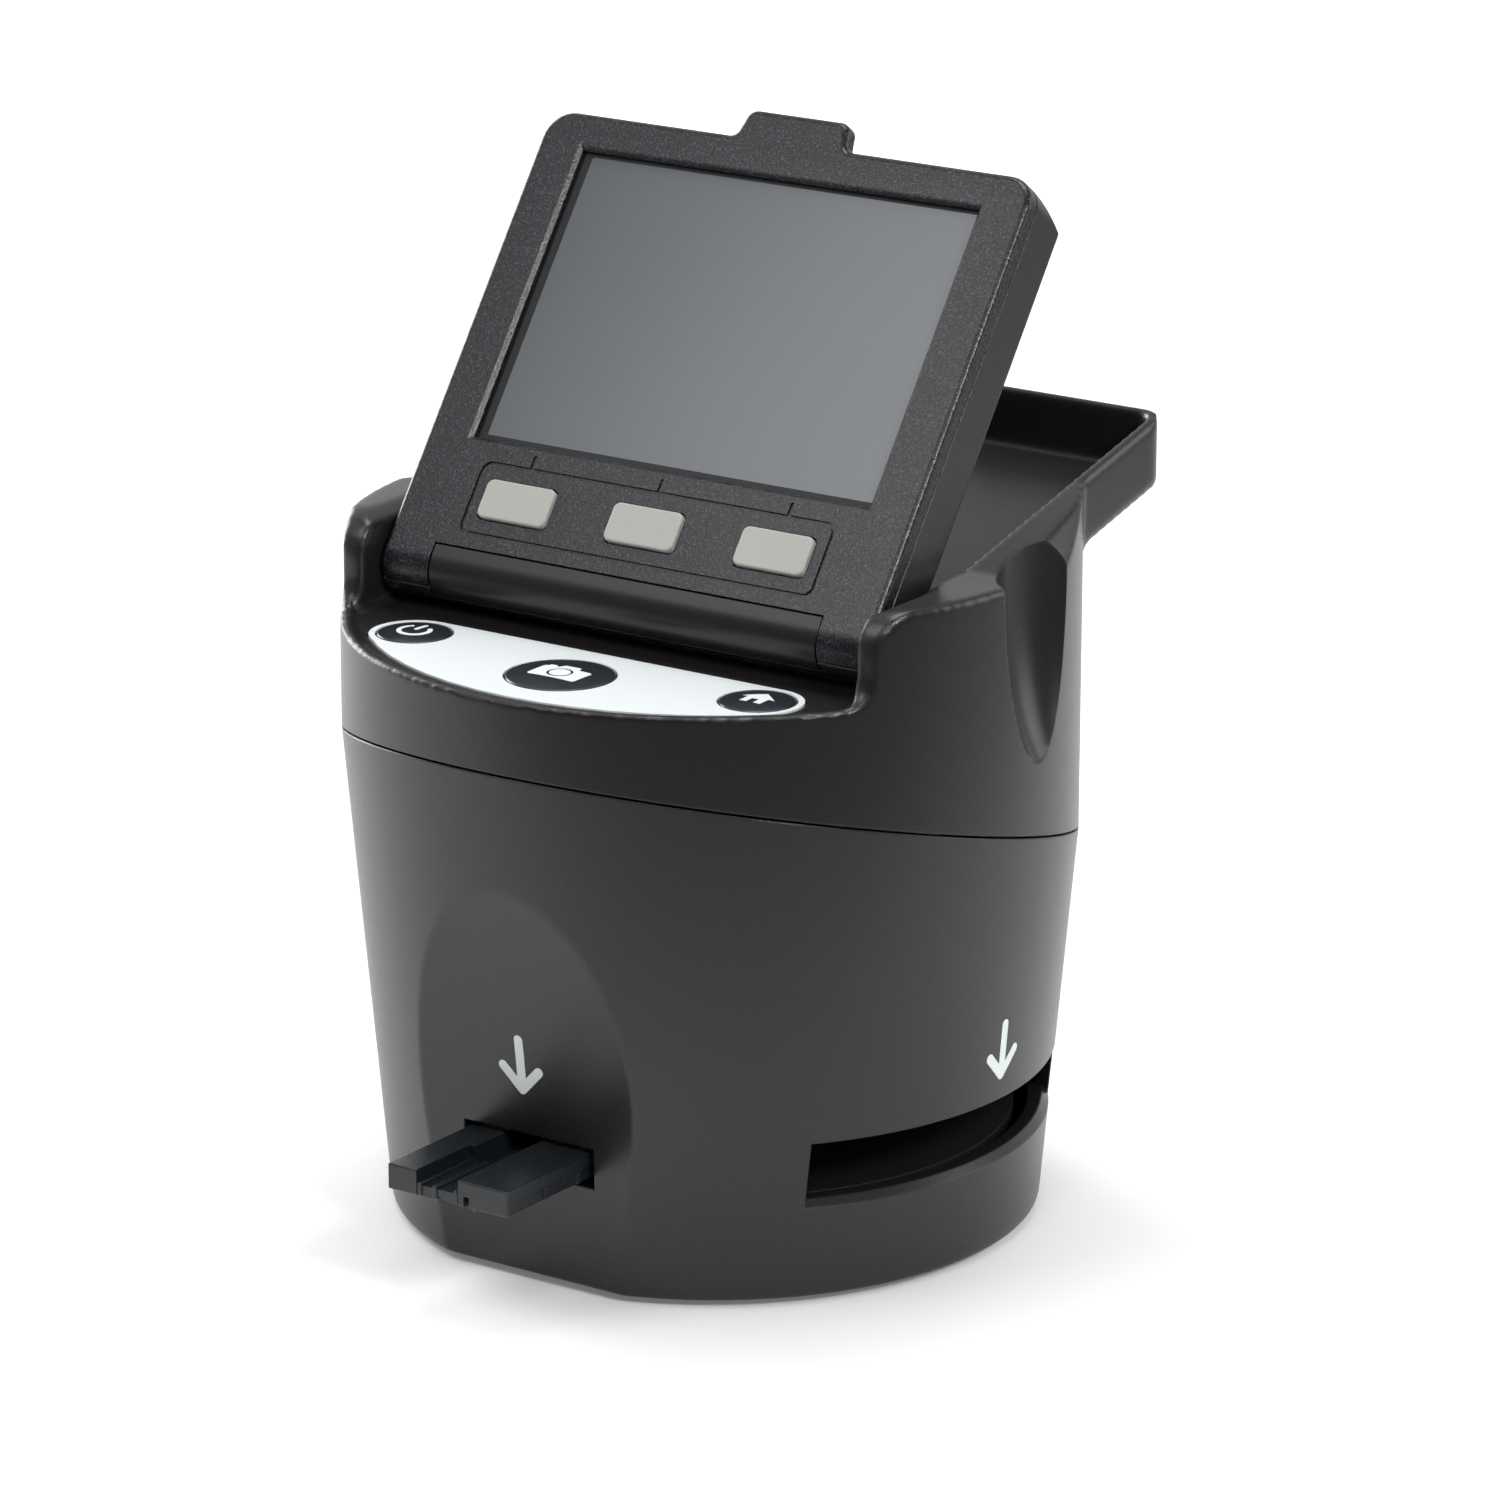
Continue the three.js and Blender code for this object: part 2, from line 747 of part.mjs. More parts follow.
function upperHousing() {
  const height = wallTopZ(backReach) + overrun;
  const sides = bothSides((side) => [crownCut(side), flute(side, 0)]).flat();
  const column = cut(bodyDrum(0, bayLow, height).intersect(sideView(0)).intersect(aheadOf(backFlat)), sides);
  const outside = column.add(shelfBox());
  const posts = [boardPostFront, boardPostBack].flatMap((y) => bothSides((side) =>
    rod(boardPostRadius, controlTop + seat, deckUnder + deck / 2, side * boardPostX, y)));
  const shell = outside.subtract(upperHollow()).intersect(seamSide(seamGap / 2, cutReach));
  const notch = box(-tabNotchHalf, tabNotchHalf, shelfInnerBack - shelfWall, cutReach,
    wallTopZ(backReach) - tabNotchDepth, cutReach);
  const platePocket = prismZ(panelOutline(buttonGap), wellFloor - plateSink, wellFloor + overrun);
  const pinHoles = bothSides((side) =>
    rodX(pinRadius + seat, side * (bayHalf - overrun), side * (shelfHalf + overrun), hingeY, hingeZ));
  return cut(join([shell, ...posts]), [
    bayCut(), notch, platePocket, ...buttonHoles(deckUnder - overrun, wellFloor + overrun),
    ...pinHoles, ...bothSides(earBevel),
  ]);
}

function panelPlate() {
  const low = wellFloor - plateSink + seat;
  return cut(prismZ(panelOutline(0), low, low + plateThick), buttonHoles(low - overrun, low + overrun));
}

function roundButton(radius, x, y) {
  const edge = wellFloor + buttonRise;
  const profile = [
    [0, stemLow], [buttonStem, stemLow], [buttonStem, flangeLow], [radius + buttonFlange, flangeLow],
    [radius + buttonFlange, flangeTop], [radius, flangeTop],
  ];
  for (let i = domeSteps; i >= 0; i -= 1) {
    const share = i / domeSteps;
    profile.push([radius * share, edge + buttonDome * (1 - share ** 2)]);
  }
  return spin(profile, 2 * smallSteps, x, y);
}

function controlBoard() {
  const low = controlTop - boardThick;
  const blank = box(-controlHalfWidth, controlHalfWidth, controlFront, controlBack, low, controlTop);
  return blank.intersect(rod(controlRadius, low, controlTop, 0, 0, bodySteps));
}

function switchAt(x, y) {
  const bodyTop = switchLow + switchBody;
  const body = box(x - switchHalf, x + switchHalf, y - switchHalf, y + switchHalf, switchLow, bodyTop);
  return body.add(rod(plungerRadius, bodyTop - switchBody / 2, plungerTop, x, y));
}

function basePlateSolid() {
  const edge = wall + seat;
  const round = rod(taperRadius(plateBottom) - edge, plateBottom, plateTop, 0, taperY, bodySteps);
  const disc = round.subtract(archSpace(edge));
  const stands = fourCorners(windowHalfX, windowHalfY, (x, y) =>
    rod(standRadius, plateTop - basePlate / 2, lightBoardLow - seat, x, y));
  const pockets = fourCorners(footPlace, footPlace, (x, y) =>
    rod(footRadius + seat, plateBottom - overrun, plateBottom + footPocket, x, taperY + y));
  const holes = fourCorners(bossX, bossY, (x, y) =>
    rod(screwRadius + seat, 0, plateTop + overrun, x, taperY + y));
  const sinks = fourCorners(bossX, bossY, (x, y) =>
    rod(screwHeadRadius + seat, 0, plateBottom + screwHeadThick + seat, x, taperY + y));
  return cut(join([disc, ...stands]), [...pockets, ...holes, ...sinks]);
}

function foot(x, y) {
  return rod(footRadius, 0, plateBottom + footPocket - seat, x, taperY + y);
}

function baseScrew(x, y) {
  const headTop = plateBottom + screwHeadThick;
  const profile = [
    [0, plateBottom], [screwHeadRadius, plateBottom], [screwHeadRadius, headTop],
    [screwRadius, headTop], [screwRadius, headTop + screwLength], [0, headTop + screwLength],
  ];
  return spin(profile, smallSteps, x, taperY + y);
}

function tunnelHalf(inner) {
  return inner + ledge + tunnelWall;
}

function filmStage() {
  const halfX = tunnelHalf(windowHalfX);
  const halfY = tunnelHalf(windowHalfY);
  const disc = rod(stageRadius, stageLow, stageTop, 0, taperY, bodySteps).subtract(aheadOf(stageFront));
  const tunnel = box(-halfX, halfX, -halfY, halfY, lightBoardTop + seat, stageTop);
  const posts = fourCorners(postX, postY, (x, y) => rod(postRadius, stageLow, guideLow - seat, x, y));
  const window = box(-windowHalfX, windowHalfX, -windowHalfY, windowHalfY, 0, stageTop + overrun);
  const pocketX = windowHalfX + ledge;
  const pocketY = windowHalfY + ledge;
  const pocketFloor = stageTop - diffuserThick - seat;
  const pocket = box(-pocketX, pocketX, -pocketY, pocketY, pocketFloor, stageTop + overrun);
  const rails = bothSides((side) => railPair(side, pocketY + railWindowGap)).flat();
  return cut(join([disc, tunnel, ...posts, ...rails]), [window, pocket]);
}

// Ledges under the tray and fences beside it, left out over the window
function railPair(side, gapHalf) {
  const fenceIn = side * (trayHalfWidth + fenceGap);
  const fenceOut = side * (trayHalfWidth + fenceGap + fenceWidth);
  const ledgeIn = side * (trayHalfWidth + fenceGap - railWidth);
  const runs = [[railFront, -gapHalf], [gapHalf, railBack]];
  return runs.flatMap(([front, back]) => [
    box(ledgeIn, fenceOut, front, back, stageLow, trayLow - seat),
    box(fenceIn, fenceOut, front, back, stageLow, trayLow + fenceRise),
  ]);
}

function diffuser() {
  const halfX = windowHalfX + ledge - seat;
  const halfY = windowHalfY + ledge - seat;
  return box(-halfX, halfX, -halfY, halfY, stageTop - diffuserThick, stageTop);
}

function backlightBoard() {
  const halfX = tunnelHalf(windowHalfX) + lightBoardEdge;
  const halfY = tunnelHalf(windowHalfY) + lightBoardEdge;
  const board = box(-halfX, halfX, -halfY, halfY, lightBoardLow, lightBoardTop);
  const lamps = [-1, 0, 1].flatMap((column) => bothSides((row) => rod(
    lampRadius, lightBoardLow + boardThick / 2, lightBoardTop + lampHeight,
    column * lampPitchX, row * lampPitchY / 2, cornerSteps * 2)));
  return join([board, ...lamps]);
}

function stopSpring() {
  const front = trayBack + seat;
  const low = stageTop + seat;
  const section = polygon([
    [front, low], [front + stopFoot, low], [front + stopFoot, low + stopThick],
    [front + stopThick, low + stopThick], [front + stopThick, trayTop],
    [front + 3 * stopThick, stopHigh], [front + 2 * stopThick, stopHigh + stopThick], [front, trayTop],
  ]);
  return prismX(section, -stopHalfWidth, stopHalfWidth);
}

function filmGuide() {
  const plate = box(-guideHalfX, guideHalfX, -guideHalfY, guideHalfY, guideLow, guideTop);
  const posts = [mainPostFront, mainPostBack].flatMap((y) => bothSides((side) =>
    rod(standRadius, guideTop - guidePlate / 2, mainLow - seat, side * mainPostX, y)));
  const window = box(
    -windowHalfX, windowHalfX, -windowHalfY, windowHalfY, guideLow - overrun, guideTop + overrun);
  return join([plate, ...posts]).subtract(window);
}

function lensTower() {
  const low = guideTop + seat;
  const neck = lensRadius + seat + towerWall;
  const bore = lensRadius + seat;
  return spin([
    [towerFoot, low], [towerFoot, low + towerFootThick], [towerShoulder, low + towerFootThick],
    [towerShoulder, towerTaperLow], [neck, towerTaperHigh], [neck, towerTop - towerFootThick],
    [towerFlange, towerTop - towerFootThick], [towerFlange, towerTop], [bore, towerTop],
    [bore, towerTaperHigh], [towerShoulder - towerWall, towerTaperLow], [towerShoulder - towerWall, low],
    [towerFoot, low],
  ], smallSteps, 0, 0);
}

function lensBarrel() {
  return spin([
    [lensLip, lensLow], [lensRadius, lensLow], [lensRadius, lensHigh], [lensLip, lensHigh],
    [lensBore, lensHigh - lensLipDepth], [lensBore, lensLow + lensLipDepth], [lensLip, lensLow],
  ], smallSteps, 0, 0);
}

function lensElement() {
  const low = lensLow + 2 * lensLipDepth;
  const high = lensHigh - 2 * lensLipDepth;
  return rod(lensBore - seat, low, high);
}

function sensorBoard() {
  const low = towerTop + seat;
  const board = box(-sensorHalf, sensorHalf, -sensorHalf, sensorHalf, low, low + boardThick);
  const chip = box(-sensorChipHalf, sensorChipHalf, -sensorChipHalf, sensorChipHalf,
    low - sensorChipThick, low + boardThick / 2);
  return board.add(chip);
}

function mainBoard() {
  return box(-mainHalfX, mainHalfX, mainFront, bayPlane - wall - seat, mainLow, mainLow + boardThick);
}

// A folded metal shell, open towards the back
function socket(x, half, depth, low, high) {
  const back = bayPlane - socketInset;
  const shell = box(x - half, x + half, back - depth, back, low, high);
  const mouth = box(x - half + socketWall, x + half - socketWall, back - depth + socketWall, back + overrun,
    low + socketWall, high - socketWall);
  return shell.subtract(mouth);
}

function filmTray() {
  const body = box(-trayHalfWidth, trayHalfWidth, trayFront, trayBack, trayLow, trayTop);
  const stepY = trayFront + channelStep;
  const floor = trayTop - channelDepth;
  const frontChannel = box(channelLeft, channelRight, trayFront - overrun, stepY, floor, trayTop + overrun);
  const longChannel = box(channelLeft + channelNarrow, channelRight, stepY - overrun, trayBack + overrun,
    floor - channelDrop, trayTop + overrun);
  const ledgeBlock = box(channelLeft, channelRight, stepY - overrun, stepY, trayLow, floor);
  const notch = box(keyNotchLeft, keyNotchLeft + keyNotchWidth, trayFront - overrun, trayBack + overrun,
    trayLow - overrun, trayLow + keyNotchHeight);
  const ridges = ridgeShares.map((share) => {
    const x = channelLeft + (channelRight - channelLeft) * share;
    return box(x - ridgeWidth / 2, x + ridgeWidth / 2, trayFront, stepY,
      trayLow + ridgeHeight, floor + ridgeHeight);
  });
  const nubs = nubShares.map((share) => {
    const x = trayHalfWidth * (2 * share - 1);
    return box(x - nubWidth / 2, x + nubWidth / 2, trayFront, trayFront + nubWidth, trayLow - nubHeight,
      trayLow + nubHeight);
  });
  const middle = (channelLeft + channelNarrow + channelRight) / 2;
  const window = box(middle - filmWindowHalfX, middle + filmWindowHalfX, -filmWindowHalfY, filmWindowHalfY,
    trayLow - overrun, trayTop);
  const channel = frontChannel.add(longChannel.subtract(ledgeBlock));
  return join([cut(body, [channel, notch, window, ...sidePanels()]), ...ridges, ...nubs]);
}

// Shallow panels between ribs along both lower edges of the tray
function sidePanels() {
  const pitch = panelLength + panelRib;
  const panels = [];
  for (let i = 0; i < panelCount; i += 1) {
    const front = trayFront + panelRib * 2 + pitch * i;
    panels.push(...bothSides((side) => box(
      side * (trayHalfWidth - panelDepth), side * (trayHalfWidth + overrun), front, front + panelLength,
      trayLow - overrun, trayLow + panelHeight)));
  }
  return panels;
}

// Screen pieces are drawn upright about the hinge axis, with the front face towards -Y
function caseOutline(inset) {
  const half = screenHalfWidth - inset;
  const corner = screenCorner - inset;
  const shape = new THREE.Shape();
  shape.moveTo(-half, -halfThick);
  shape.lineTo(half, -halfThick);
  shape.absarc(half - corner, screenTop - inset - corner, corner, 0, square);
  if (inset === 0) tabPath(shape);
  shape.absarc(-half + corner, screenTop - inset - corner, corner, square, 2 * square);
  return shape;
}

function tabPath(shape) {
  const arcZ = screenTop + tabHeight - tabCorner;
  shape.lineTo(tabFootHalf, screenTop);
  shape.absarc(tabTopHalf, arcZ, tabCorner, 0, square);
  shape.absarc(-tabTopHalf, arcZ, tabCorner, square, 2 * square);
  shape.lineTo(-tabFootHalf, screenTop);
}

function aboveHinge(radius, half) {
  const slab = box(-half, half, -cutReach, cutReach, 0, cutReach);
  return slab.add(rodX(radius, -half, half, 0, 0));
}

// Strip section: straight down the front face, then round the barrel
function coverSection(innerGap, outerReach, top, sweepEnd) {
  const inner = halfThick - coverThick - innerGap;
  const outer = halfThick + outerReach;
  const start = 2 * square;
  const shape = new THREE.Shape();
  shape.moveTo(-outer, top);
  shape.absarc(0, 0, outer, start, start + sweepEnd);
  shape.absarc(0, 0, inner, start + sweepEnd, start, true);
  shape.lineTo(-inner, top);
  return shape;
}

function coverRecess() {
  const margin = coverGap / halfThick;
  const section = coverSection(coverGap, overrun, coverTop + coverGap, coverSweep + margin);
  return prismX(section, -coverHalfWidth - coverGap, coverHalfWidth + coverGap);
}

function hingeCover() {
  return prismX(coverSection(0, 0, coverTop, coverSweep), -coverHalfWidth, coverHalfWidth);
}

// Window through the bezel that flares towards the viewer
function bezelWindow() {
  const front = -halfThick - overrun;
  const back = bezelInner + overrun;
  const flare = windowFlare * (1 + overrun / bezelPlate);
  const across = polygon([
    [-glassHalfWidth - flare, front], [glassHalfWidth + flare, front], [glassHalfWidth, bezelInner],
    [glassHalfWidth, back], [-glassHalfWidth, back], [-glassHalfWidth, bezelInner],
  ]);
  const upright = polygon([
    [front, glassLow - flare], [bezelInner, glassLow], [back, glassLow], [back, glassHigh],
    [bezelInner, glassHigh], [front, glassHigh + flare],
  ]);
  return prismZ(across, 0, screenTop).intersect(prismX(upright, -screenHalfWidth, screenHalfWidth));
}

function keyOutline(x, grow) {
  const half = keyHalfWidth + grow;
  return roundedRect(x - half, x + half, keyLow - grow, keyHigh + grow, keyCorner);
}

function keyPlaces() {
  return [-keyPitch, 0, keyPitch];
}

function grooves() {
  const ring = (inset) => roundedRect(-grooveHalfWidth + inset, grooveHalfWidth - inset,
    grooveLow + inset, grooveHigh - inset, grooveCorner - inset);
  const front = -halfThick - overrun;
  const back = -halfThick + grooveDepth;
  const core = prismY(ring(grooveWidth), front - overrun, back + overrun);
  const frame = prismY(ring(0), front, back).subtract(core);
  const ticks = keyPlaces().map((x) =>
    box(x - grooveWidth / 2, x + grooveWidth / 2, front, back, grooveHigh - grooveWidth / 2, tickHigh));
  return join([frame, ...ticks]);
}

function screenScrewPlaces() {
  return [screenScrewLow, screenScrewHigh].flatMap((z) => bothSides((side) => [side * screenScrewX, z]));
}

function screenBezel() {
  const back = parting - seat / 2;
  const outer = prismY(caseOutline(0), -halfThick, back).intersect(aboveHinge(halfThick, bodyRadius));
  const inner = prismY(caseOutline(screenWall), bezelInner, cutReach);
  const room = inner.intersect(aboveHinge(barrelBore, screenHalfWidth - screenWall));
  const bosses = screenScrewPlaces().map(([x, z]) =>
    rodY(screenBossRadius, bezelInner - bezelPlate / 2, halfThick - screenWall - seat, x, z));
  const middle = (keyLow + keyHigh) / 2;
  const keyPosts = bothSides((side) => rodY(
    keyPostRadius, bezelInner - bezelPlate / 2, keyBoardFront - seat, side * keyPitch / 2, middle));
  const pilots = screenScrewPlaces().map(([x, z]) =>
    rodY(screenScrewRadius + seat, halfThick - screenScrewLength - screenWall, cutReach, x, z));
  const keyHoles = keyPlaces().map((x) =>
    prismY(keyOutline(x, keyGap), -halfThick - overrun, bezelInner + overrun));
  const shell = outer.subtract(room);
  return cut(join([shell, ...bosses, ...keyPosts]), [
    bezelWindow(), ...keyHoles, grooves(), coverRecess(), ...pilots, ...pinBores(),
  ]);
}

function pinBores() {
  const start = screenHalfWidth - screenWall - overrun;
  return bothSides((side) => rodX(
    pinRadius + seat, side * start, side * (screenHalfWidth + overrun), 0, 0));
}

// Side section of the back cover, with its sloping top, inset by a wall
function backSection(inset) {
  const top = screenTop - backSetIn - inset;
  const back = halfThick - inset;
  const slope = backChamferDrop / (halfThick - parting);
  const front = inset > 0 ? parting - overrun : parting + seat / 2;
  return polygon([
    [front, -cutReach], [back, -cutReach], [back, top - slope * (back - parting)],
    [front, top - slope * (front - parting)],
  ]);
}

function screenRearCover() {
  const outline = prismY(caseOutline(0), -cutReach, cutReach);
  const outer = outline.intersect(prismX(backSection(0), -bodyRadius, bodyRadius));
  const inner = prismY(caseOutline(screenWall), -cutReach, cutReach);
  const room = inner.intersect(prismX(backSection(screenWall), -bodyRadius, bodyRadius));
  const holes = screenScrewPlaces().map(([x, z]) => rodY(screenScrewRadius + seat, 0, cutReach, x, z));
  const sinks = screenScrewPlaces().map(([x, z]) =>
    rodY(screenScrewHead + seat, halfThick - screenScrewHeadThick - seat, halfThick + overrun, x, z));
  const shell = outer.intersect(aboveHinge(halfThick, bodyRadius))
    .subtract(room.intersect(aboveHinge(barrelBore, screenHalfWidth - screenWall)));
  return cut(shell, [...holes, ...sinks, coverRecess(), ...pinBores()]);
}

function screenScrew(x, z) {
  const headFront = halfThick - screenScrewHeadThick;
  const tip = headFront - screenScrewLength;
  return spinY([
    [0, tip], [screenScrewRadius, tip], [screenScrewRadius, headFront],
    [screenScrewHead, headFront], [screenScrewHead, halfThick], [0, halfThick],
  ], x, z);
}

function screenGlass() {
  const half = glassHalfWidth + glassLap;
  return box(-half, half, glassFront, glassFront + glassThick, glassLow - glassLap, glassHigh + glassLap);
}

function displayModule() {
  const half = glassHalfWidth + moduleLap;
  const back = moduleFront + moduleThick;
  return box(-half, half, moduleFront, back, glassLow - moduleLap, glassHigh + moduleLap);
}

function screenKey(x) {
  const cap = prismY(keyOutline(x, 0), -halfThick - keyRise, keyFlangeFront + keyFlangeThick);
  const flange = prismY(keyOutline(x, keyFlange), keyFlangeFront, keyFlangeFront + keyFlangeThick);
  const middle = (keyLow + keyHigh) / 2;
  const stem = rodY(contactRadius, keyFlangeFront, keyBack, x, middle);
  return join([cap, flange, stem]);
}

function keyBoard() {
  const back = keyBoardFront + keyBoardThick;
  const board = box(-keyBoardHalf, keyBoardHalf, keyBoardFront, back, keyBoardLow, keyBoardHigh);
  const middle = (keyLow + keyHigh) / 2;
  const contacts = keyPlaces().map((x) =>
    rodY(contactRadius, keyBoardFront - contactHeight, keyBoardFront + keyBoardThick / 2, x, middle));
  return join([board, ...contacts]);
}

function hingeBush(side) {
  const end = screenHalfWidth - screenWall - seat;
  const start = end - bushLength;
  const bore = pinRadius + seat;
  const outer = barrelBore - seat;
  return spinX([[bore, start], [outer, start], [outer, end], [bore, end], [bore, start]], side, 0, 0);
}

function hingePin(side) {
  const start = screenHalfWidth - pinReach;
  const head = shelfHalf + seat;
  const end = head + pinHeadThick;
  return spinX([
    [0, start], [pinRadius, start], [pinRadius, head], [pinHeadRadius, head], [pinHeadRadius, end], [0, end],
  ], side, hingeY, hingeZ);
}

function material(color, roughness, metalness = 0) {
  return new THREE.MeshStandardMaterial({ color, roughness, metalness });
}

const housingPlastic = material('#3a3938', 0.5);
const bezelPlastic = material('#3b3c40', 0.45);
const panelWhite = material('#e6ebec', 0.4);
const buttonBlack = material('#2b2f33', 0.35);
const keyGrey = material('#b4b6b0', 0.45);
const trayPlastic = material('#23272d', 0.35);
const innerPlastic = material('#1d1d1f', 0.6);
const footRubber = material('#202020', 0.9);
const steel = material('#b9bcc0', 0.35, 0.9);
const springSteel = material('#c9c6bd', 0.3, 0.9);
const boardGreen = material('#1f5a3a', 0.5);
const socketSteel = material('#c4c6c8', 0.3, 0.9);
const switchBlack = material('#26262a', 0.5);
const bushPolymer = material('#d8d5c8', 0.5);
const diffuserWhite = material('#f2f2ee', 0.5);
const glassDark = material('#7f8488', 0.1);
const lensGlass = material('#9fb4c0', 0.05);

const scanner = new THREE.Group();
const screen = new THREE.Group();

function place(group, name, part, look) {
  const { vertProperties, triVerts } = part.getMesh();
  const geometry = new THREE.BufferGeometry();
  geometry.setAttribute('position', new THREE.BufferAttribute(vertProperties, 3));
  geometry.setIndex(new THREE.BufferAttribute(triVerts, 1));
  geometry.computeVertexNormals();
  const mesh = new THREE.Mesh(geometry, look);
  mesh.name = name;
  group.add(mesh);
}

const sideNames = ['left', 'right'];
const cornerNames = ['front_left', 'front_right', 'back_left', 'back_right'];

function placeHousing() {
  place(scanner, 'lower_housing', lowerHousing(), housingPlastic);
  place(scanner, 'upper_housing', upperHousing(), housingPlastic);
  place(scanner, 'base_plate', basePlateSolid(), innerPlastic);
  fourCorners(footPlace, footPlace, foot).forEach((part, i) =>
    place(scanner, `foot_${cornerNames[i]}`, part, footRubber));
  fourCorners(bossX, bossY, baseScrew).forEach((part, i) =>
    place(scanner, `base_screw_${cornerNames[i]}`, part, steel));
}

function placePanel() {
  const buttons = [
    ['power', sideButtonRadius, -sideButtonX, sideButtonY],
    ['capture', captureRadius, 0, captureY],
    ['home', sideButtonRadius, sideButtonX, sideButtonY],
  ];
  place(scanner, 'panel_plate', panelPlate(), panelWhite);
  place(scanner, 'control_board', controlBoard(), boardGreen);
  buttons.forEach(([name, radius, x, y]) => {
    place(scanner, `${name}_button`, roundButton(radius, x, y), buttonBlack);
    place(scanner, `${name}_switch`, switchAt(x, y), switchBlack);
  });
}

function placeOptics() {
  place(scanner, 'film_stage', filmStage(), innerPlastic);
  place(scanner, 'diffuser', diffuser(), diffuserWhite);
  place(scanner, 'backlight_board', backlightBoard(), boardGreen);
  place(scanner, 'tray_stop_spring', stopSpring(), springSteel);
  place(scanner, 'film_guide', filmGuide(), innerPlastic);
  place(scanner, 'lens_tower', lensTower(), innerPlastic);
  place(scanner, 'lens_barrel', lensBarrel(), innerPlastic);
  place(scanner, 'lens_element', lensElement(), lensGlass);
  place(scanner, 'sensor_board', sensorBoard(), boardGreen);
  place(scanner, 'film_tray', filmTray(), trayPlastic);
}

function placeMainBoard() {
  const above = mainLow + boardThick + seat;
  const below = mainLow - seat;
  const usb = socket(usbX, usbHalf, usbDepth, above, above + usbHeight);
  const video = socket(videoX, videoHalf, videoDepth, above, above + videoHeight);
  const card = socket(cardX, cardHalf, cardDepth, below - cardHeight, below);
  place(scanner, 'main_board', mainBoard(), boardGreen);
  place(scanner, 'usb_socket', usb, socketSteel);
  place(scanner, 'video_socket', video, socketSteel);
  place(scanner, 'card_socket', card, socketSteel);
}

function placeScreen() {
  place(screen, 'screen_bezel', screenBezel(), bezelPlastic);
  place(screen, 'screen_rear_cover', screenRearCover(), housingPlastic);
  place(screen, 'screen_glass', screenGlass(), glassDark);
  place(screen, 'display_module', displayModule(), steel);
  place(screen, 'screen_key_board', keyBoard(), boardGreen);
  place(screen, 'hinge_cover', hingeCover(), bezelPlastic);
  const keyNames = ['left', 'middle', 'right'];
  keyPlaces().forEach((x, i) => place(screen, `screen_key_${keyNames[i]}`, screenKey(x), keyGrey));
  screenScrewPlaces().forEach(([x, z], i) =>
    place(screen, `screen_screw_${i + 1}`, screenScrew(x, z), steel));
  bothSides(hingeBush).forEach((part, i) => place(screen, `hinge_bush_${sideNames[i]}`, part, bushPolymer));
  bothSides(hingePin).forEach((part, i) => place(scanner, `hinge_pin_${sideNames[i]}`, part, steel));
  screen.position.set(0, hingeY, hingeZ);
  screen.rotation.x = -screenLean;
  scanner.add(screen);
}

placeHousing();
placePanel();
placeOptics();
placeMainBoard();
placeScreen();
scanner.position.y = -(trayFront + backReach) / 2;

export default scanner;
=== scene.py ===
from math import atan2, cos, degrees, hypot, pi, radians, sin, sqrt, tan

import bmesh
import bpy
from mathutils import Matrix, Vector


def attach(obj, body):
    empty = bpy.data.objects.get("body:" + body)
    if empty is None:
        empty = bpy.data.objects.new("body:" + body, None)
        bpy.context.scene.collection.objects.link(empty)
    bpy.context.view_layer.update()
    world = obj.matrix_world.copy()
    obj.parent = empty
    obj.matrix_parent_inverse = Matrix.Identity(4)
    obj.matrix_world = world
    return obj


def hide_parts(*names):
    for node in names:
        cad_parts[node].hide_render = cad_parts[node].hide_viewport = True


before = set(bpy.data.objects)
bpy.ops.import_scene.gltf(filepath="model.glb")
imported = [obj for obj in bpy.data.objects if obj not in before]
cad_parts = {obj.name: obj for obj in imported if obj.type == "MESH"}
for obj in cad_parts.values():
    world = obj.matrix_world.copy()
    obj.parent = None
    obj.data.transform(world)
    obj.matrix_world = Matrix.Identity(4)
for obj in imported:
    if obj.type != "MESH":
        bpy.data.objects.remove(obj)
scene = bpy.context.scene
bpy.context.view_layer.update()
print("frame loaded:", len(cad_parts), "nodes")

# Pieces are modelled in millimetres about the round body's axis, then put in the frame in metres
bodyAxisY = 6.9
toFrame = Matrix.Scale(0.001, 4) @ Matrix.Translation((0, bodyAxisY, 0))
hinge = {"y": -20.05, "z": 106.47, "lean": 35.8}
toScreen = (toFrame @ Matrix.Translation((0, hinge["y"], hinge["z"]))
    @ Matrix.Rotation(radians(-hinge["lean"]), 4, "X"))


# materials

def toLinear(hexColour):
    channels = [int(hexColour[i:i + 2], 16) / 255 for i in (1, 3, 5)]
    return [c / 12.92 if c <= 0.04045 else ((c + 0.055) / 1.055) ** 2.4 for c in channels] + [1]


def addNode(material, kind, links=(), **settings):
    # settings are sockets by name where the node has one, else properties
    node = material.node_tree.nodes.new("ShaderNode" + kind)
    for key, value in settings.items():
        name = key.replace("_", " ")
        if name in node.inputs:
            node.inputs[name].default_value = value
        else:
            setattr(node, key, value)
    for source, socket in links:
        material.node_tree.links.new(source, node.inputs[socket])
    return node


def mapRange(material, value, fromMin, fromMax, toMin, toMax):
    ends = {"From_Min": fromMin, "From_Max": fromMax, "To_Min": toMin, "To_Max": toMax}
    return addNode(material, "MapRange", [(value, "Value")], **ends).outputs[0]


def compute(material, operation, first, second):
    return addNode(material, "Math", [(first, 0), (second, 1)], operation=operation).outputs[0]


def noise(material, place, size, detail, **settings):
    # blotches of a size in millimetres
    return addNode(material, "TexNoise", [(place, "Vector")], Scale=1000 / size, Detail=detail,
        **settings).outputs["Fac"]


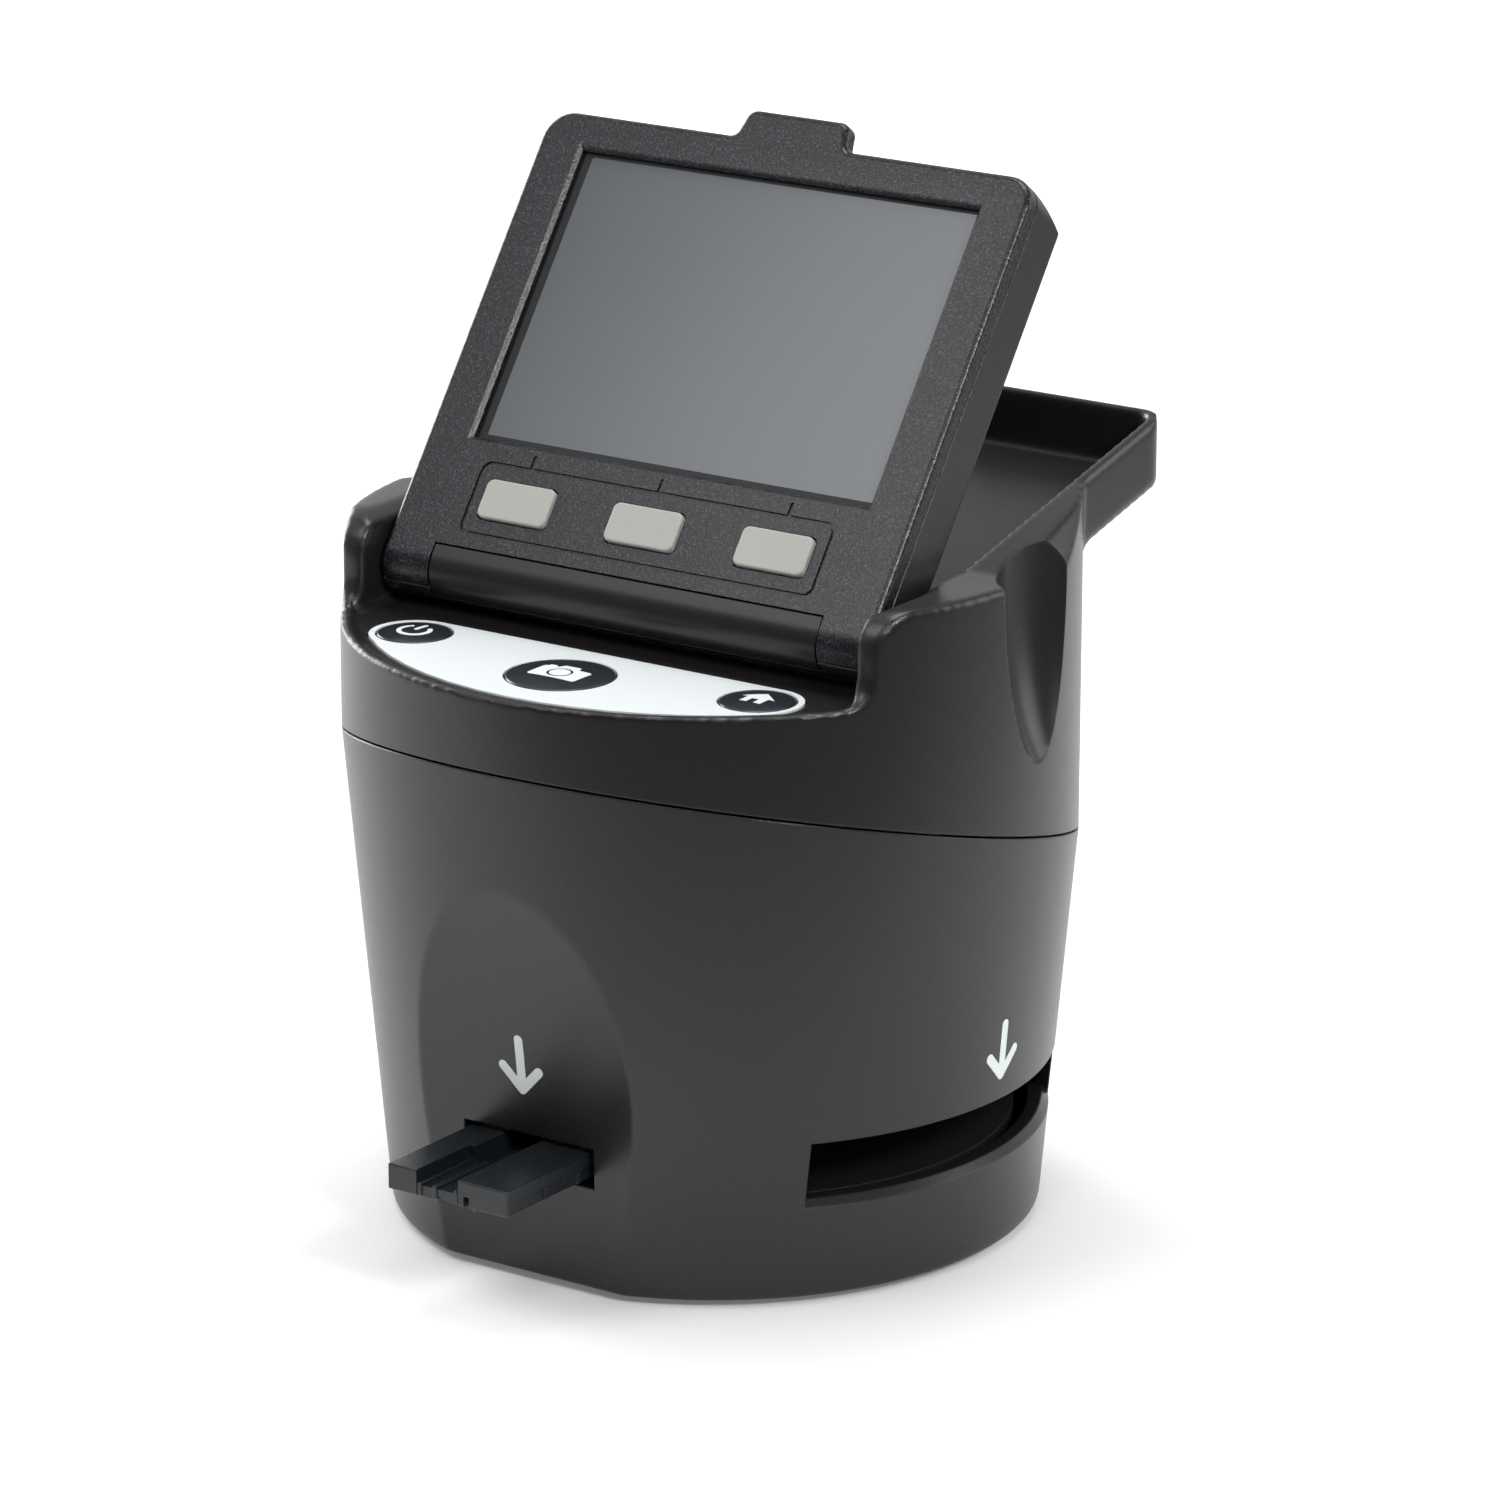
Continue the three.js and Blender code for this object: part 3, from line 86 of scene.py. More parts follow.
def mixTones(material, share, first, second):
    # a tone is a hex colour or a node's output; the node's colour sockets are inputs 6 and 7 and output 2
    node = addNode(material, "Mix", [(share, "Factor")], data_type="RGBA")
    for tone, socket in ((first, node.inputs[6]), (second, node.inputs[7])):
        if isinstance(tone, str):
            socket.default_value = toLinear(tone)
        else:
            material.node_tree.links.new(tone, socket)
    return node.outputs[2]


def objectPlace(material):
    return addNode(material, "TexCoord").outputs["Object"]


def newMaterial(name):
    material = bpy.data.materials.new(name)
    material.use_nodes = True
    material.node_tree.nodes.clear()
    return material


def finishMaterial(material, shader):
    output = addNode(material, "OutputMaterial")
    material.node_tree.links.new(shader.outputs[0], output.inputs["Surface"])
    return material


def mouldedPlastic(name, look):
    # injection-moulded plastic: spark-eroded grain from the mould, slow drifts in gloss and tone, and where
    # asked pale flecks painted on the grain's tops as glints
    material = newMaterial(name)
    place = objectPlace(material)
    grain = noise(material, place, look["grain"], 2.0, Roughness=0.6)
    drift = noise(material, place, look["drift"], 3.0)
    tone = mixTones(material, drift, look["dark"], look["light"])
    if "paintedGlint" in look:
        # painted glints: the tops of a coarse grain painted paler than its hollows, standing in for the
        # lamps' sparkle on them
        glintTops = noise(material, place, look["paintedGlintSize"], 1.0, Roughness=0.5)
        tone = mixTones(material, mapRange(material, glintTops, 0.54, 0.7, 0.0, 1.0), tone, look["paintedGlint"])
    gloss = mapRange(material, grain, 0.3, 0.7, look["smooth"], look["rough"])
    relief = addNode(material, "Bump", [(grain, "Height")], Strength=look["relief"],
        Distance=look["depth"] / 1000)
    if "edge" in look:
        edges = addNode(material, "Bevel", Radius=look["edge"] / 1000, samples=4)
        material.node_tree.links.new(edges.outputs[0], relief.inputs["Normal"])
    shader = addNode(material, "BsdfPrincipled", [
        (tone, "Base Color"), (gloss, "Roughness"), (relief.outputs[0], "Normal")],
        IOR=1.53, Specular_IOR_Level=look.get("specular", 0.5))
    return finishMaterial(material, shader)


# grain, drift, depth and the extras edge (round that worn edges show) and the size of the painted glints are
# in millimetres
plasticKeys = ("grain", "drift", "dark", "light", "smooth", "rough", "relief", "depth")
plastics = {
    # fine matt grain, a warm charcoal that greys where it turns away
    "mouldedAbsCharcoal": (0.35, 30, "#1d1c1c", "#211f1f", 0.27, 0.34, 0.15, 0.03, {"edge": 0.5}),
    # coarser spark grain that glints under the lamps, with pale flecks painted on its tops as glints
    "sparkGrainAbsBezel": (0.42, 25, "#0f1013", "#121317", 0.26, 0.36, 0.75, 0.07,
        {"paintedGlint": "#454750", "paintedGlintSize": 0.34, "specular": 0.42}),
    # the same plastic from a smoother mould, for the strip round the hinge
    "fineGrainAbsStrip": (0.3, 25, "#16171a", "#191a1d", 0.3, 0.38, 0.12, 0.03, {"specular": 0.42}),
    # smooth blue-black, the tray's own moulding
    "mouldedPolystyreneTray": (0.5, 12, "#171b1f", "#1b2025", 0.26, 0.36, 0.1, 0.02, {"edge": 0.15}),
    # satin white with a faint blue cast, screen-printed film over the panel
    "printedPanelFilm": (0.3, 20, "#e2e8e9", "#e8edee", 0.32, 0.4, 0.05, 0.01, {}),
    # blue-black polished caps
    "polishedAbsButton": (0.4, 9, "#25292d", "#282c31", 0.22, 0.25, 0.02, 0.002, {"specular": 0.45}),
    # light warm grey with a soft satin face
    "satinKeyCap": (0.3, 8, "#a9aba5", "#b2b4ae", 0.38, 0.48, 0.1, 0.02, {}),
    # matt black inside parts
    "mattBlackAbs": (0.3, 15, "#121213", "#171718", 0.5, 0.62, 0.2, 0.03, {"edge": 0.2}),
    # feet: soft rubber with a dusty bloom
    "mouldedRubber": (0.25, 5, "#1b1b1b", "#262625", 0.75, 0.9, 0.3, 0.03, {"edge": 0.3}),
    # green laminate with a glassy lacquer
    "lacqueredLaminate": (0.8, 6, "#17492f", "#1f5a3a", 0.3, 0.38, 0.1, 0.02, {"edge": 0.1}),
    # milky sheet that spreads the lamps' light
    "opalAcrylic": (0.5, 20, "#eeeeea", "#f4f4f0", 0.35, 0.42, 0.05, 0.01, {}),
    # dull dark border printed behind the pane
    "borderInk": (0.3, 8, "#191a1c", "#1d1e20", 0.4, 0.46, 0.02, 0.01, {"specular": 0.3}),
    # natural acetal bushes, waxy off-white
    "naturalAcetal": (0.4, 4, "#d2cfc2", "#dad7ca", 0.35, 0.45, 0.08, 0.02, {}),
    # printed pale grey ink, a little uneven
    "screenPrintInk": (0.25, 3, "#e0e8e9", "#e8efef", 0.45, 0.55, 0.1, 0.01, {}),
}
finishes = {}
for name, (*look, extras) in plastics.items():
    finishes[name] = mouldedPlastic(name, {**dict(zip(plasticKeys, look)), **extras})


def platedSteel(name, colour, smooth, rough):
    # zinc or nickel plate: bright, with fine drawn lines along one way
    material = newMaterial(name)
    stretched = addNode(material, "Mapping", [(objectPlace(material), "Vector")], Scale=(4000, 4000, 300))
    lines = noise(material, stretched.outputs[0], 1000, 2.0)
    gloss = mapRange(material, lines, 0.0, 1.0, smooth, rough)
    relief = addNode(material, "Bump", [(lines, "Height")], Strength=0.15, Distance=0.00001)
    shader = addNode(material, "BsdfPrincipled", [(gloss, "Roughness"), (relief.outputs[0], "Normal")],
        Base_Color=toLinear(colour), Metallic=1.0)
    return finishMaterial(material, shader)


def clearPane(name, look):
    # display behind a clear pane: a dull panel seen through a polished coat
    material = newMaterial(name)
    haze = noise(material, objectPlace(material), look["haze"], 2.0)
    tone = mixTones(material, haze, look["dark"], look["light"])
    shader = addNode(material, "BsdfPrincipled", [(tone, "Base Color")], Roughness=look["rough"], IOR=1.5,
        Coat_Weight=look["coat"], Coat_Roughness=look["coatRough"])
    return finishMaterial(material, shader)


for name, *look in (("zincPlatedSteel", "#b9bcc0", 0.28, 0.42), ("springStrip", "#c9c6bd", 0.2, 0.32),
        ("nickelPlatedSteel", "#c4c6c8", 0.22, 0.34), ("aluminiumSheet", "#bfc2c4", 0.3, 0.45)):
    finishes[name] = platedSteel(name, *look)
finishes["displayPane"] = clearPane("displayPane", {
    "haze": 40, "dark": "#4a4f54", "light": "#50555a", "rough": 0.3, "coat": 0.6, "coatRough": 0.2})
finishes["coatedLensGlass"] = clearPane("coatedLensGlass", {
    "haze": 3, "dark": "#27323c", "light": "#32424e", "rough": 0.08, "coat": 1.0, "coatRough": 0.02})
print("materials:", len(finishes))


# making shapes

def turnMesh(mesh, matrix):
    bmesh.ops.transform(mesh, matrix=matrix, verts=mesh.verts[:])


def shiftMesh(mesh, way):
    bmesh.ops.translate(mesh, vec=way, verts=mesh.verts[:])


def faceOutwards(mesh):
    bmesh.ops.recalc_face_normals(mesh, faces=mesh.faces[:])


def drawOutline(mesh, start, moves):
    # a move is a corner (x, y), or a turn (centreX, centreY, degrees) about a centre from the last corner
    first = last = mesh.verts.new((start[0], start[1], 0))
    for move in moves:
        if len(move) == 2:
            vert = mesh.verts.new((move[0], move[1], 0))
            mesh.edges.new((last, vert))
            last = vert
        else:
            turned = bmesh.ops.spin(mesh, geom=[last], cent=(move[0], move[1], 0), axis=(0, 0, 1),
                angle=radians(move[2]), steps=max(3, int(abs(move[2]) / 6)),
                use_duplicate=False)
            last = turned["geom_last"][0]
    if (last.co - first.co).length < 0.0001:
        bmesh.ops.pointmerge(mesh, verts=[last, first], merge_co=first.co)
    else:
        mesh.edges.new((last, first))
    bmesh.ops.contextual_create(mesh, geom=mesh.edges[:])


axisTurns = {  # turns a section drawn in its own plane so that it can be swept along an axis
    "z": Matrix.Identity(4),
    "y": Matrix(((1, 0, 0, 0), (0, 0, 1, 0), (0, 1, 0, 0), (0, 0, 0, 1))),   # section in X and Z
    "x": Matrix(((0, 0, 1, 0), (1, 0, 0, 0), (0, 1, 0, 0), (0, 0, 0, 1))),   # section in Y and Z
}


def prism(axis, low, high, start, moves):
    # an outline in its own plane, swept along an axis
    mesh = bmesh.new()
    drawOutline(mesh, start, moves)
    shiftMesh(mesh, (0, 0, low))
    swept = bmesh.ops.extrude_face_region(mesh, geom=mesh.faces[:])
    moved = [item for item in swept["geom"] if isinstance(item, bmesh.types.BMVert)]
    bmesh.ops.translate(mesh, verts=moved, vec=(0, 0, high - low))
    turnMesh(mesh, axisTurns[axis])
    faceOutwards(mesh)
    return mesh


def block(xLow, xHigh, yLow, yHigh, zLow, zHigh):
    # where a block cuts, it runs past what it cuts by a round distance
    mesh = bmesh.new()
    bmesh.ops.create_cube(mesh, size=1)
    bmesh.ops.scale(mesh, vec=(xHigh - xLow, yHigh - yLow, zHigh - zLow), verts=mesh.verts[:])
    shiftMesh(mesh, ((xLow + xHigh) / 2, (yLow + yHigh) / 2, (zLow + zHigh) / 2))
    return mesh


def frontOf(y, low, high):
    return block(-100, 100, -100, y, low, high)


def roundedBlock(axis, low, high, left, rightEnd, bottom, top, radius):
    return prism(axis, low, high, (left + radius, bottom), [
        (rightEnd - radius, bottom), (rightEnd - radius, bottom + radius, 90),
        (rightEnd, top - radius), (rightEnd - radius, top - radius, 90),
        (left + radius, top), (left + radius, top - radius, 90),
        (left, bottom + radius), (left + radius, bottom + radius, 90)])


def lathe(profile, steps, x=0.0, y=0.0):
    # profile of radius and height, spun about Z
    mesh = bmesh.new()
    verts = [mesh.verts.new((radius, 0, height)) for radius, height in profile]
    edges = [mesh.edges.new(pair) for pair in zip(verts, verts[1:])]
    bmesh.ops.spin(mesh, geom=verts + edges, cent=(0, 0, 0), axis=(0, 0, 1), angle=2 * pi,
        steps=steps, use_merge=True, use_duplicate=False)
    bmesh.ops.remove_doubles(mesh, verts=mesh.verts[:], dist=0.0005)
    shiftMesh(mesh, (x, y, 0))
    faceOutwards(mesh)
    return mesh


def rod(radius, low, high, x=0.0, y=0.0, steps=32):
    return lathe([(0, low), (radius, low), (radius, high), (0, high)], steps, x, y)


def rodAlong(axis, radius, low, high, a, b, steps=32):
    # a round bar along X at (y, z), or along Y at (x, z)
    mesh = rod(radius, low, high, steps=steps)
    degree, about = (90, "Y") if axis == "x" else (-90, "X")
    turn = Matrix.Rotation(radians(degree), 4, about)
    turnMesh(mesh, turn)
    shiftMesh(mesh, (0, a, b) if axis == "x" else (a, 0, b))
    return mesh


def asObject(mesh, name):
    data = bpy.data.meshes.new(name)
    mesh.to_mesh(data)
    mesh.free()
    made = bpy.data.objects.new(name, data)
    scene.collection.objects.link(made)
    return made


def applyModifiers(target):
    graph = bpy.context.evaluated_depsgraph_get()
    data = bpy.data.meshes.new_from_object(target.evaluated_get(graph))
    target.modifiers.clear()
    old = target.data
    target.data = data
    bpy.data.meshes.remove(old)


def combine(target, operation, tools):
    # tools are bmeshes; each is joined to, cut from or kept in common with the target
    for tool in tools:
        other = asObject(tool, "tool")
        modifier = target.modifiers.new("combine", "BOOLEAN")
        modifier.operation = operation
        modifier.solver = "MANIFOLD"
        modifier.object = other
        applyModifiers(target)
        bpy.data.objects.remove(other)


def join(target, *tools):
    combine(target, "UNION", tools)


def cut(target, *tools):
    combine(target, "DIFFERENCE", tools)


def keep(target, *tools):
    combine(target, "INTERSECT", tools)


def copyMesh(target):
    mesh = bmesh.new()
    mesh.from_mesh(target.data)
    return mesh


def takeMesh(target):
    mesh = copyMesh(target)
    bpy.data.objects.remove(target)
    return mesh


def putBack(mesh, target):
    mesh.to_mesh(target.data)
    mesh.free()


def soften(target, voxel, rounds):
    # an even mesh whose outer edges and inner corners are rounded like a moulding's
    modifier = target.modifiers.new("even", "REMESH")
    modifier.mode = "VOXEL"
    modifier.voxel_size = voxel
    applyModifiers(target)
    mesh = copyMesh(target)
    for _ in range(rounds):
        bmesh.ops.smooth_vert(mesh, verts=mesh.verts[:], factor=0.5, use_axis_x=True, use_axis_y=True,
            use_axis_z=True)
    putBack(mesh, target)


def bevelEdges(mesh, width, segments, chosen=None, sharp=40):
    edges = [edge for edge in mesh.edges if len(edge.link_faces) == 2
        and degrees(edge.calc_face_angle(0)) > sharp and (chosen is None or chosen(edge))]
    bmesh.ops.bevel(mesh, geom=edges, offset=width, offset_type="OFFSET", segments=segments, profile=0.5,
        affect="EDGES", material=-1, clamp_overlap=True)


def roundOff(target, width, segments, chosen=None, sharp=40):
    mesh = copyMesh(target)
    bmesh.ops.remove_doubles(mesh, verts=mesh.verts[:], dist=0.005)
    bmesh.ops.dissolve_limit(mesh, angle_limit=radians(0.5), verts=mesh.verts[:], edges=mesh.edges[:])
    bevelEdges(mesh, width, segments, chosen, sharp)
    putBack(mesh, target)


creaseAngle = 38   # degrees at which an edge shows as a crease


def settle(target, body, finish, nodes=(), matrix=toFrame, flats=True):
    # shades the piece, puts it in the frame in metres, hangs it on the body it rides on, and hides the frame
    # nodes it stands for
    target.data.name = target.name
    mesh = copyMesh(target)
    bmesh.ops.remove_doubles(mesh, verts=mesh.verts[:], dist=0.0005)
    turnMesh(mesh, matrix)
    for face in mesh.faces:
        face.smooth = True
    for edge in mesh.edges:
        edge.smooth = degrees(edge.calc_face_angle(0)) < creaseAngle
    putBack(mesh, target)
    target.data.materials.clear()
    target.data.materials.append(finishes[finish])
    if flats:
        weighted = target.modifiers.new("flatFaces", "WEIGHTED_NORMAL")
        weighted.keep_sharp = True
    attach(target, body)
    if nodes:
        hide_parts(*nodes)
    return target


# camera, lamps and floor

view = {"position": (0.6351, -0.8913, 0.4111), "target": (0, 0.0088, 0.0730), "lens": 169.4,
    "shift": (0.0215, 0.0137)}


def aim(target, place, at):
    target.location = place
    target.rotation_mode = "QUATERNION"
    target.rotation_quaternion = (Vector(at) - Vector(place)).to_track_quat("-Z", "Y")
    scene.collection.objects.link(target)


camera = bpy.data.objects.new("camera", bpy.data.cameras.new("camera"))
aim(camera, view["position"], view["target"])
camera.data.lens = view["lens"]
camera.data.sensor_width = 36
camera.data.shift_x, camera.data.shift_y = view["shift"]
camera.data.clip_start, camera.data.clip_end = 0.05, 20
scene.camera = camera
scene.view_settings.view_transform = "Standard"

studio = {"lampTarget": (0, 0, 0.07), "heading": (-0.576, 0.817, 0),
    # measures from and to, then shares from and to
    "roomDepth": (-0.6, 0.9, 0.06, 0.95), "roomHeight": (0.0, 1.0, 1.0, 0.5),
    "glowAway": (0.5, 1.1, 0.14, 1.0), "sheetAhead": (-0.28, -0.1, 0.12, 1.0),
    "sheetRight": (0.17, 0.36, 1.0, 0.35)}
lamps = {
    # name: place, size in metres, watts
    "windowLeft": ((-1.15, 0.3, 0.4), (0.8, 0.8), 12.6),
    "windowRight": ((0.95, 0.75, 0.5), (0.7, 0.9), 4.2),
    "rightSpot": ((0.78, -0.29, 0.6), (0.2, 0.2), 4.2),
    "ceiling": ((-0.1, 0.15, 1.2), (0.6, 0.6), 6.2),
    "aboveCamera": ((0.35, -0.7, 0.9), (0.4, 0.3), 1.8),
    "frontCard": ((-0.2, -0.3, 0.5), (0.24, 0.24), 0.6),
}
for name, (place, size, watts) in lamps.items():
    data = bpy.data.lights.new(name, "AREA")
    data.shape = "RECTANGLE"
    data.size, data.size_y = size
    data.energy = watts
    aim(bpy.data.objects.new(name, data), place, studio["lampTarget"])


def alongView(material, place):
    # how far a place or a direction lies ahead, along the camera's level heading
    ahead = addNode(material, "VectorMath", [(place, 0)], operation="DOT_PRODUCT")
    ahead.inputs[1].default_value = studio["heading"]
    return ahead.outputs["Value"]


def studioWorld():
    # pale backdrop behind the object, dimmer room in front of it; seen directly it is plain white
    world = bpy.data.worlds.new("studio")
    scene.world = world
    world.use_nodes = True
    world.node_tree.nodes.clear()
    rays = addNode(world, "LightPath").outputs
    seen = compute(world, "MAXIMUM", rays["Is Camera Ray"], rays["Is Transmission Ray"])
    towards = addNode(world, "TexCoord").outputs["Generated"]
    level = mapRange(world, alongView(world, towards), *studio["roomDepth"])
    height = addNode(world, "SeparateXYZ", [(towards, 0)]).outputs["Z"]
    room = compute(world, "MULTIPLY", level, mapRange(world, height, *studio["roomHeight"]))
    bright = compute(world, "MAXIMUM", seen, room)
    background = addNode(world, "Background", [(bright, "Strength")], Color=(1, 1, 1, 1))
    output = addNode(world, "OutputWorld")
    world.node_tree.links.new(background.outputs[0], output.inputs["Surface"])


def paleFloor():
    # matt white paper, lit by the lamps and keeping the shadow
    material = newMaterial("paperFloor")
    place = objectPlace(material)
    fibre = addNode(material, "TexNoise", [(place, "Vector")], Scale=900.0, Detail=2.0)
    relief = addNode(material, "Bump", [(fibre.outputs["Fac"], "Height")], Strength=0.03, Distance=0.0001)
    diffuse = addNode(material, "BsdfDiffuse", [(relief.outputs[0], "Normal")], Color=toLinear("#f4f4f3"))
    # what the camera sees glows a little, and turns plain white beyond the lamps' reach
    away = addNode(material, "VectorMath", [(place, 0)], operation="LENGTH").outputs["Value"]
    beyond = mapRange(material, away, *studio["glowAway"])
    glow = addNode(material, "Emission", [(beyond, "Strength")], Color=(1, 1, 1, 1))
    both = addNode(material, "AddShader", [(diffuse.outputs[0], 0), (glow.outputs[0], 1)])
    # painted shade for reflections: to all but the camera the paper gives way to a dark grey a hand's breadth
    # in front of the object, and is painted darker towards its right
    reach = mapRange(material, alongView(material, place), *studio["sheetAhead"])
    along = addNode(material, "SeparateXYZ", [(place, 0)]).outputs["X"]
    lit = compute(material, "MULTIPLY", reach, mapRange(material, along, *studio["sheetRight"]))
    # painted shade: the dark grey seen in the object's reflections in place of the paper
    reflectionShade = addNode(material, "BsdfDiffuse", Color=toLinear("#3c3c3c"))
    sheet = addNode(material, "MixShader", [(lit, 0), (reflectionShade.outputs[0], 1), (diffuse.outputs[0], 2)])
    rays = addNode(material, "LightPath").outputs
    mixed = addNode(material, "MixShader", [
        (rays["Is Camera Ray"], 0), (sheet.outputs[0], 1), (both.outputs[0], 2)])
    finishMaterial(material, mixed)
    mesh = bmesh.new()
    bmesh.ops.create_grid(mesh, x_segments=8, y_segments=8, size=6)
    floor = asObject(mesh, "floor")
    floor.data.materials.append(material)


studioWorld()
paleFloor()
print("camera, lamps and floor")


# round body

shell = {"radius": 60, "foot": 53.5, "seam": 72.64, "tilt": 14, "bottom": 1.2, "wall": 2.2, "back": 57.6,
    "gap": 0.4, "round": 1.0}
taper = (shell["radius"] - shell["foot"]) / shell["seam"]
seamFall = tan(radians(shell["tilt"]))
taperY = shell["radius"] * taper * seamFall


def taperRadius(z):
    return shell["foot"] + taper * z


def taperDrum(inset, low, high):
    return lathe([(0, low), (taperRadius(low) - inset, low), (taperRadius(high) - inset, high), (0, high)],
        96, 0, taperY)


def seamSlope(y):
    return shell["seam"] - seamFall * (y - taperY)


def seamCutter(offset, upward):
    # everything above or below the tilted seam
    far = 300 if upward else -100
    return prism("x", -100, 100, (-150, seamSlope(-150) + offset),
        [(-150, far), (150, far), (150, seamSlope(150) + offset)])


arch = {"foot": 49.3, "draft": 2.6, "bend": 24, "radius": 171, "turn": 18, "blend": 0.22, "fine": 2.6,
    "front": -20, "height": 76}


def archCutter(inset):
    # drafted foot of the recess, then one long arc that runs out through the wall
    draft = radians(arch["draft"])
    foot = inset - arch["foot"]
    bend = foot - tan(draft) * arch["bend"]
    centreY = bend - arch["radius"] * cos(draft)
    centreZ = arch["bend"] - arch["radius"] * sin(draft)
    return prism("x", -60, 60, (-150, -3), [
        (foot + tan(draft) * 3, -3), (bend, arch["bend"]), (centreY, centreZ, arch["turn"]), (-150, 90)])


def archSkin(z):
    # where the recess lies in Y at a height, with the foot's small round
    draft = radians(arch["draft"])
    foot = -arch["foot"] - tan(draft) * z
    if z > arch["bend"]:
        centreY = -arch["foot"] - tan(draft) * arch["bend"] - arch["radius"] * cos(draft)
        centreZ = arch["bend"] - arch["radius"] * sin(draft)
        foot = centreY + sqrt(arch["radius"] ** 2 - (z - centreZ) ** 2)
    low = max(0.0, shell["round"] - (z - shell["bottom"]))
    return foot + shell["round"] - sqrt(max(0.0, shell["round"] ** 2 - low ** 2))


def smoothMax(a, b, width):
    share = max(width - abs(a - b), 0) / width
    return max(a, b) + share * share * width / 4


def roundedDrum():
    # rings close together, closer still along the recess's edge, and the recess pressed into the front
    bend, low = shell["round"], shell["bottom"]
    profile = [(0, low), (taperRadius(low) * 0.5, low)]
    profile += [(taperRadius(low) - bend + bend * sin(a), low + bend - bend * cos(a))
        for a in (0, 0.3, 0.6, 0.9, 1.2, 1.5)]
    rows, start, end = 64, low + bend + 0.3, 95
    heights = [start + (end - start) * i / rows for i in range(rows + 1)]
    profile += [(taperRadius(z), z) for z in heights] + [(30, heights[-1]), (0, heights[-1])]
    mesh = lathe(profile, 288, 0, taperY)

    def inFront(vert):
        return vert.co.y < arch["front"] and vert.co.z < arch["height"]

    near = [edge for edge in mesh.edges if all(
        inFront(v) and abs(v.co.y - archSkin(v.co.z)) < arch["fine"] for v in edge.verts)]
    bmesh.ops.subdivide_edges(mesh, edges=near, cuts=3, use_grid_fill=True)
    for vert in filter(inFront, mesh.verts):
        vert.co.y = smoothMax(vert.co.y, archSkin(vert.co.z), arch["blend"])
    return mesh


# the side openings, the tray's slot, and the socket bay with its three holes: middle, half, low, high
gate = {"low": 18.1, "high": 28, "half": 34, "chamfer": 1.3, "sill": 3.6, "sillThick": 3.6, "inner": 25}
slot = {"half": 12.8, "low": 18.7, "high": 25.5, "reach": 4.4}
bay = {"plane": 53.5, "half": 22, "low": 39, "high": 56, "end": 49, "gap": 0.35,
    "holes": ((-13, 3.9, 47.9, 51.9), (5, 5.6, 47.9, 51.3), (0, 13, 42.7, 45.7))}


def gateCutters(side):
    reach = sorted((side * gate["inner"], side * 100))
    opening = block(*reach, -gate["half"], gate["half"], gate["low"], gate["high"])
    floor, edge = gate["low"], gate["chamfer"]
    rim = taperRadius(floor)
    chamfer = asObject(lathe([(rim - edge, floor), (rim + 2, floor - edge - 2), (rim + 2, floor + 2),
        (rim - edge, floor + 2), (rim - edge, floor)], 192, 0, taperY), "chamfer")
    keep(chamfer, block(*reach, -gate["half"], gate["half"], 10, gate["high"]))
    return [opening, takeMesh(chamfer)]


def lowerHousing():
    wall, back = shell["wall"], shell["back"]
    body = asObject(roundedDrum(), "lowerHousingShell")
    keep(body, frontOf(back, -10, 200))
    hollow = asObject(taperDrum(wall, -5, 98), "hollow")
    sill = asObject(taperDrum(-5, gate["low"] - gate["sillThick"], gate["low"]), "sill")
    cut(sill, taperDrum(gate["sill"], 0, 40))
    bayShell = block(-bay["half"] - wall, bay["half"] + wall, bay["plane"] - wall, 100,
        bay["low"] - wall, bay["high"] + wall)
    keep(hollow, frontOf(back - wall, -10, 200))
    cut(hollow, archCutter(wall), takeMesh(sill), bayShell)
    cut(body, takeMesh(hollow), seamCutter(-shell["gap"] / 2, True),
        *gateCutters(-1), *gateCutters(1),
        block(-slot["half"], slot["half"], -100, slot["reach"] - arch["foot"], slot["low"], slot["high"]),
        block(-bay["half"], bay["half"], bay["plane"], 100, bay["low"], bay["high"]))
    for x, half, low, high in bay["holes"]:
        cut(body, block(x - half - bay["gap"], x + half + bay["gap"], bay["end"], 56,
            low - bay["gap"], high + bay["gap"]))
    return settle(body, "base", "mouldedAbsCharcoal", ["lower_housing"], flats=False)


lowerShell = lowerHousing()
print("lower housing:", len(lowerShell.data.polygons), "faces")


# upper housing

crown = {"rim": 100.3, "rimWall": 1.8, "well": 99.3, "deck": 2, "earFront": -29.9, "earTop": 115,
    "earRound": 7, "earFillet": 4.5, "rampDrop": 0.05, "chamferDrop": 1.6, "chamferWidth": 3.2,
    "fadeStart": -13, "fadeEnd": 0, "hollowTop": 97.3}
screenCase = {"half": 47.7, "thick": 11.1}
shelf = {"tilt": 14, "gap": 0.38, "wall": 1.6, "height": 9.3, "corner": 4.5, "front": -9, "back": 58.1,
    "notchHalf": 12, "notchDepth": 1.6}
flute = {"x": 66.1, "y": 6.3, "depth": 12.8, "width": 13, "length": 37, "top": 116, "crisp": 0.9}
slopeBack = {"front": 9, "foot": 110.5, "top": 127}
shelfTilt = radians(shelf["tilt"])
shelfSlope = tan(shelfTilt)
bayHalf = screenCase["half"] + 0.6
shelfHalf = bayHalf + 2
halfThick = screenCase["thick"] / 2


def floorHeight(y):
    drop = halfThick + shelf["gap"]
    return hinge["z"] - drop * cos(shelfTilt) + shelfSlope * (y - hinge["y"] - drop * sin(shelfTilt))


def wallTop(y):
    return floorHeight(y) + shelf["height"] / cos(shelfTilt)


def sidePrism():
    # rim, the ear's S-curve and the ramp up to the shelf's wall, seen from the side
    front, rim, top = crown["earFront"], crown["rim"], crown["earTop"]
    fillet, bend = crown["earFillet"], crown["earRound"]
    rampStart = (top + crown["rampDrop"] - wallTop(0)) / shelfSlope
    return prism("x", -100, 100, (-150, 0), [
        (-150, rim), (front - fillet, rim), (front - fillet, rim + fillet, 90), (front, top - bend),
        (front + bend, top - bend, -90), (rampStart, top), (150, wallTop(150) - crown["rampDrop"]), (150, 0)])


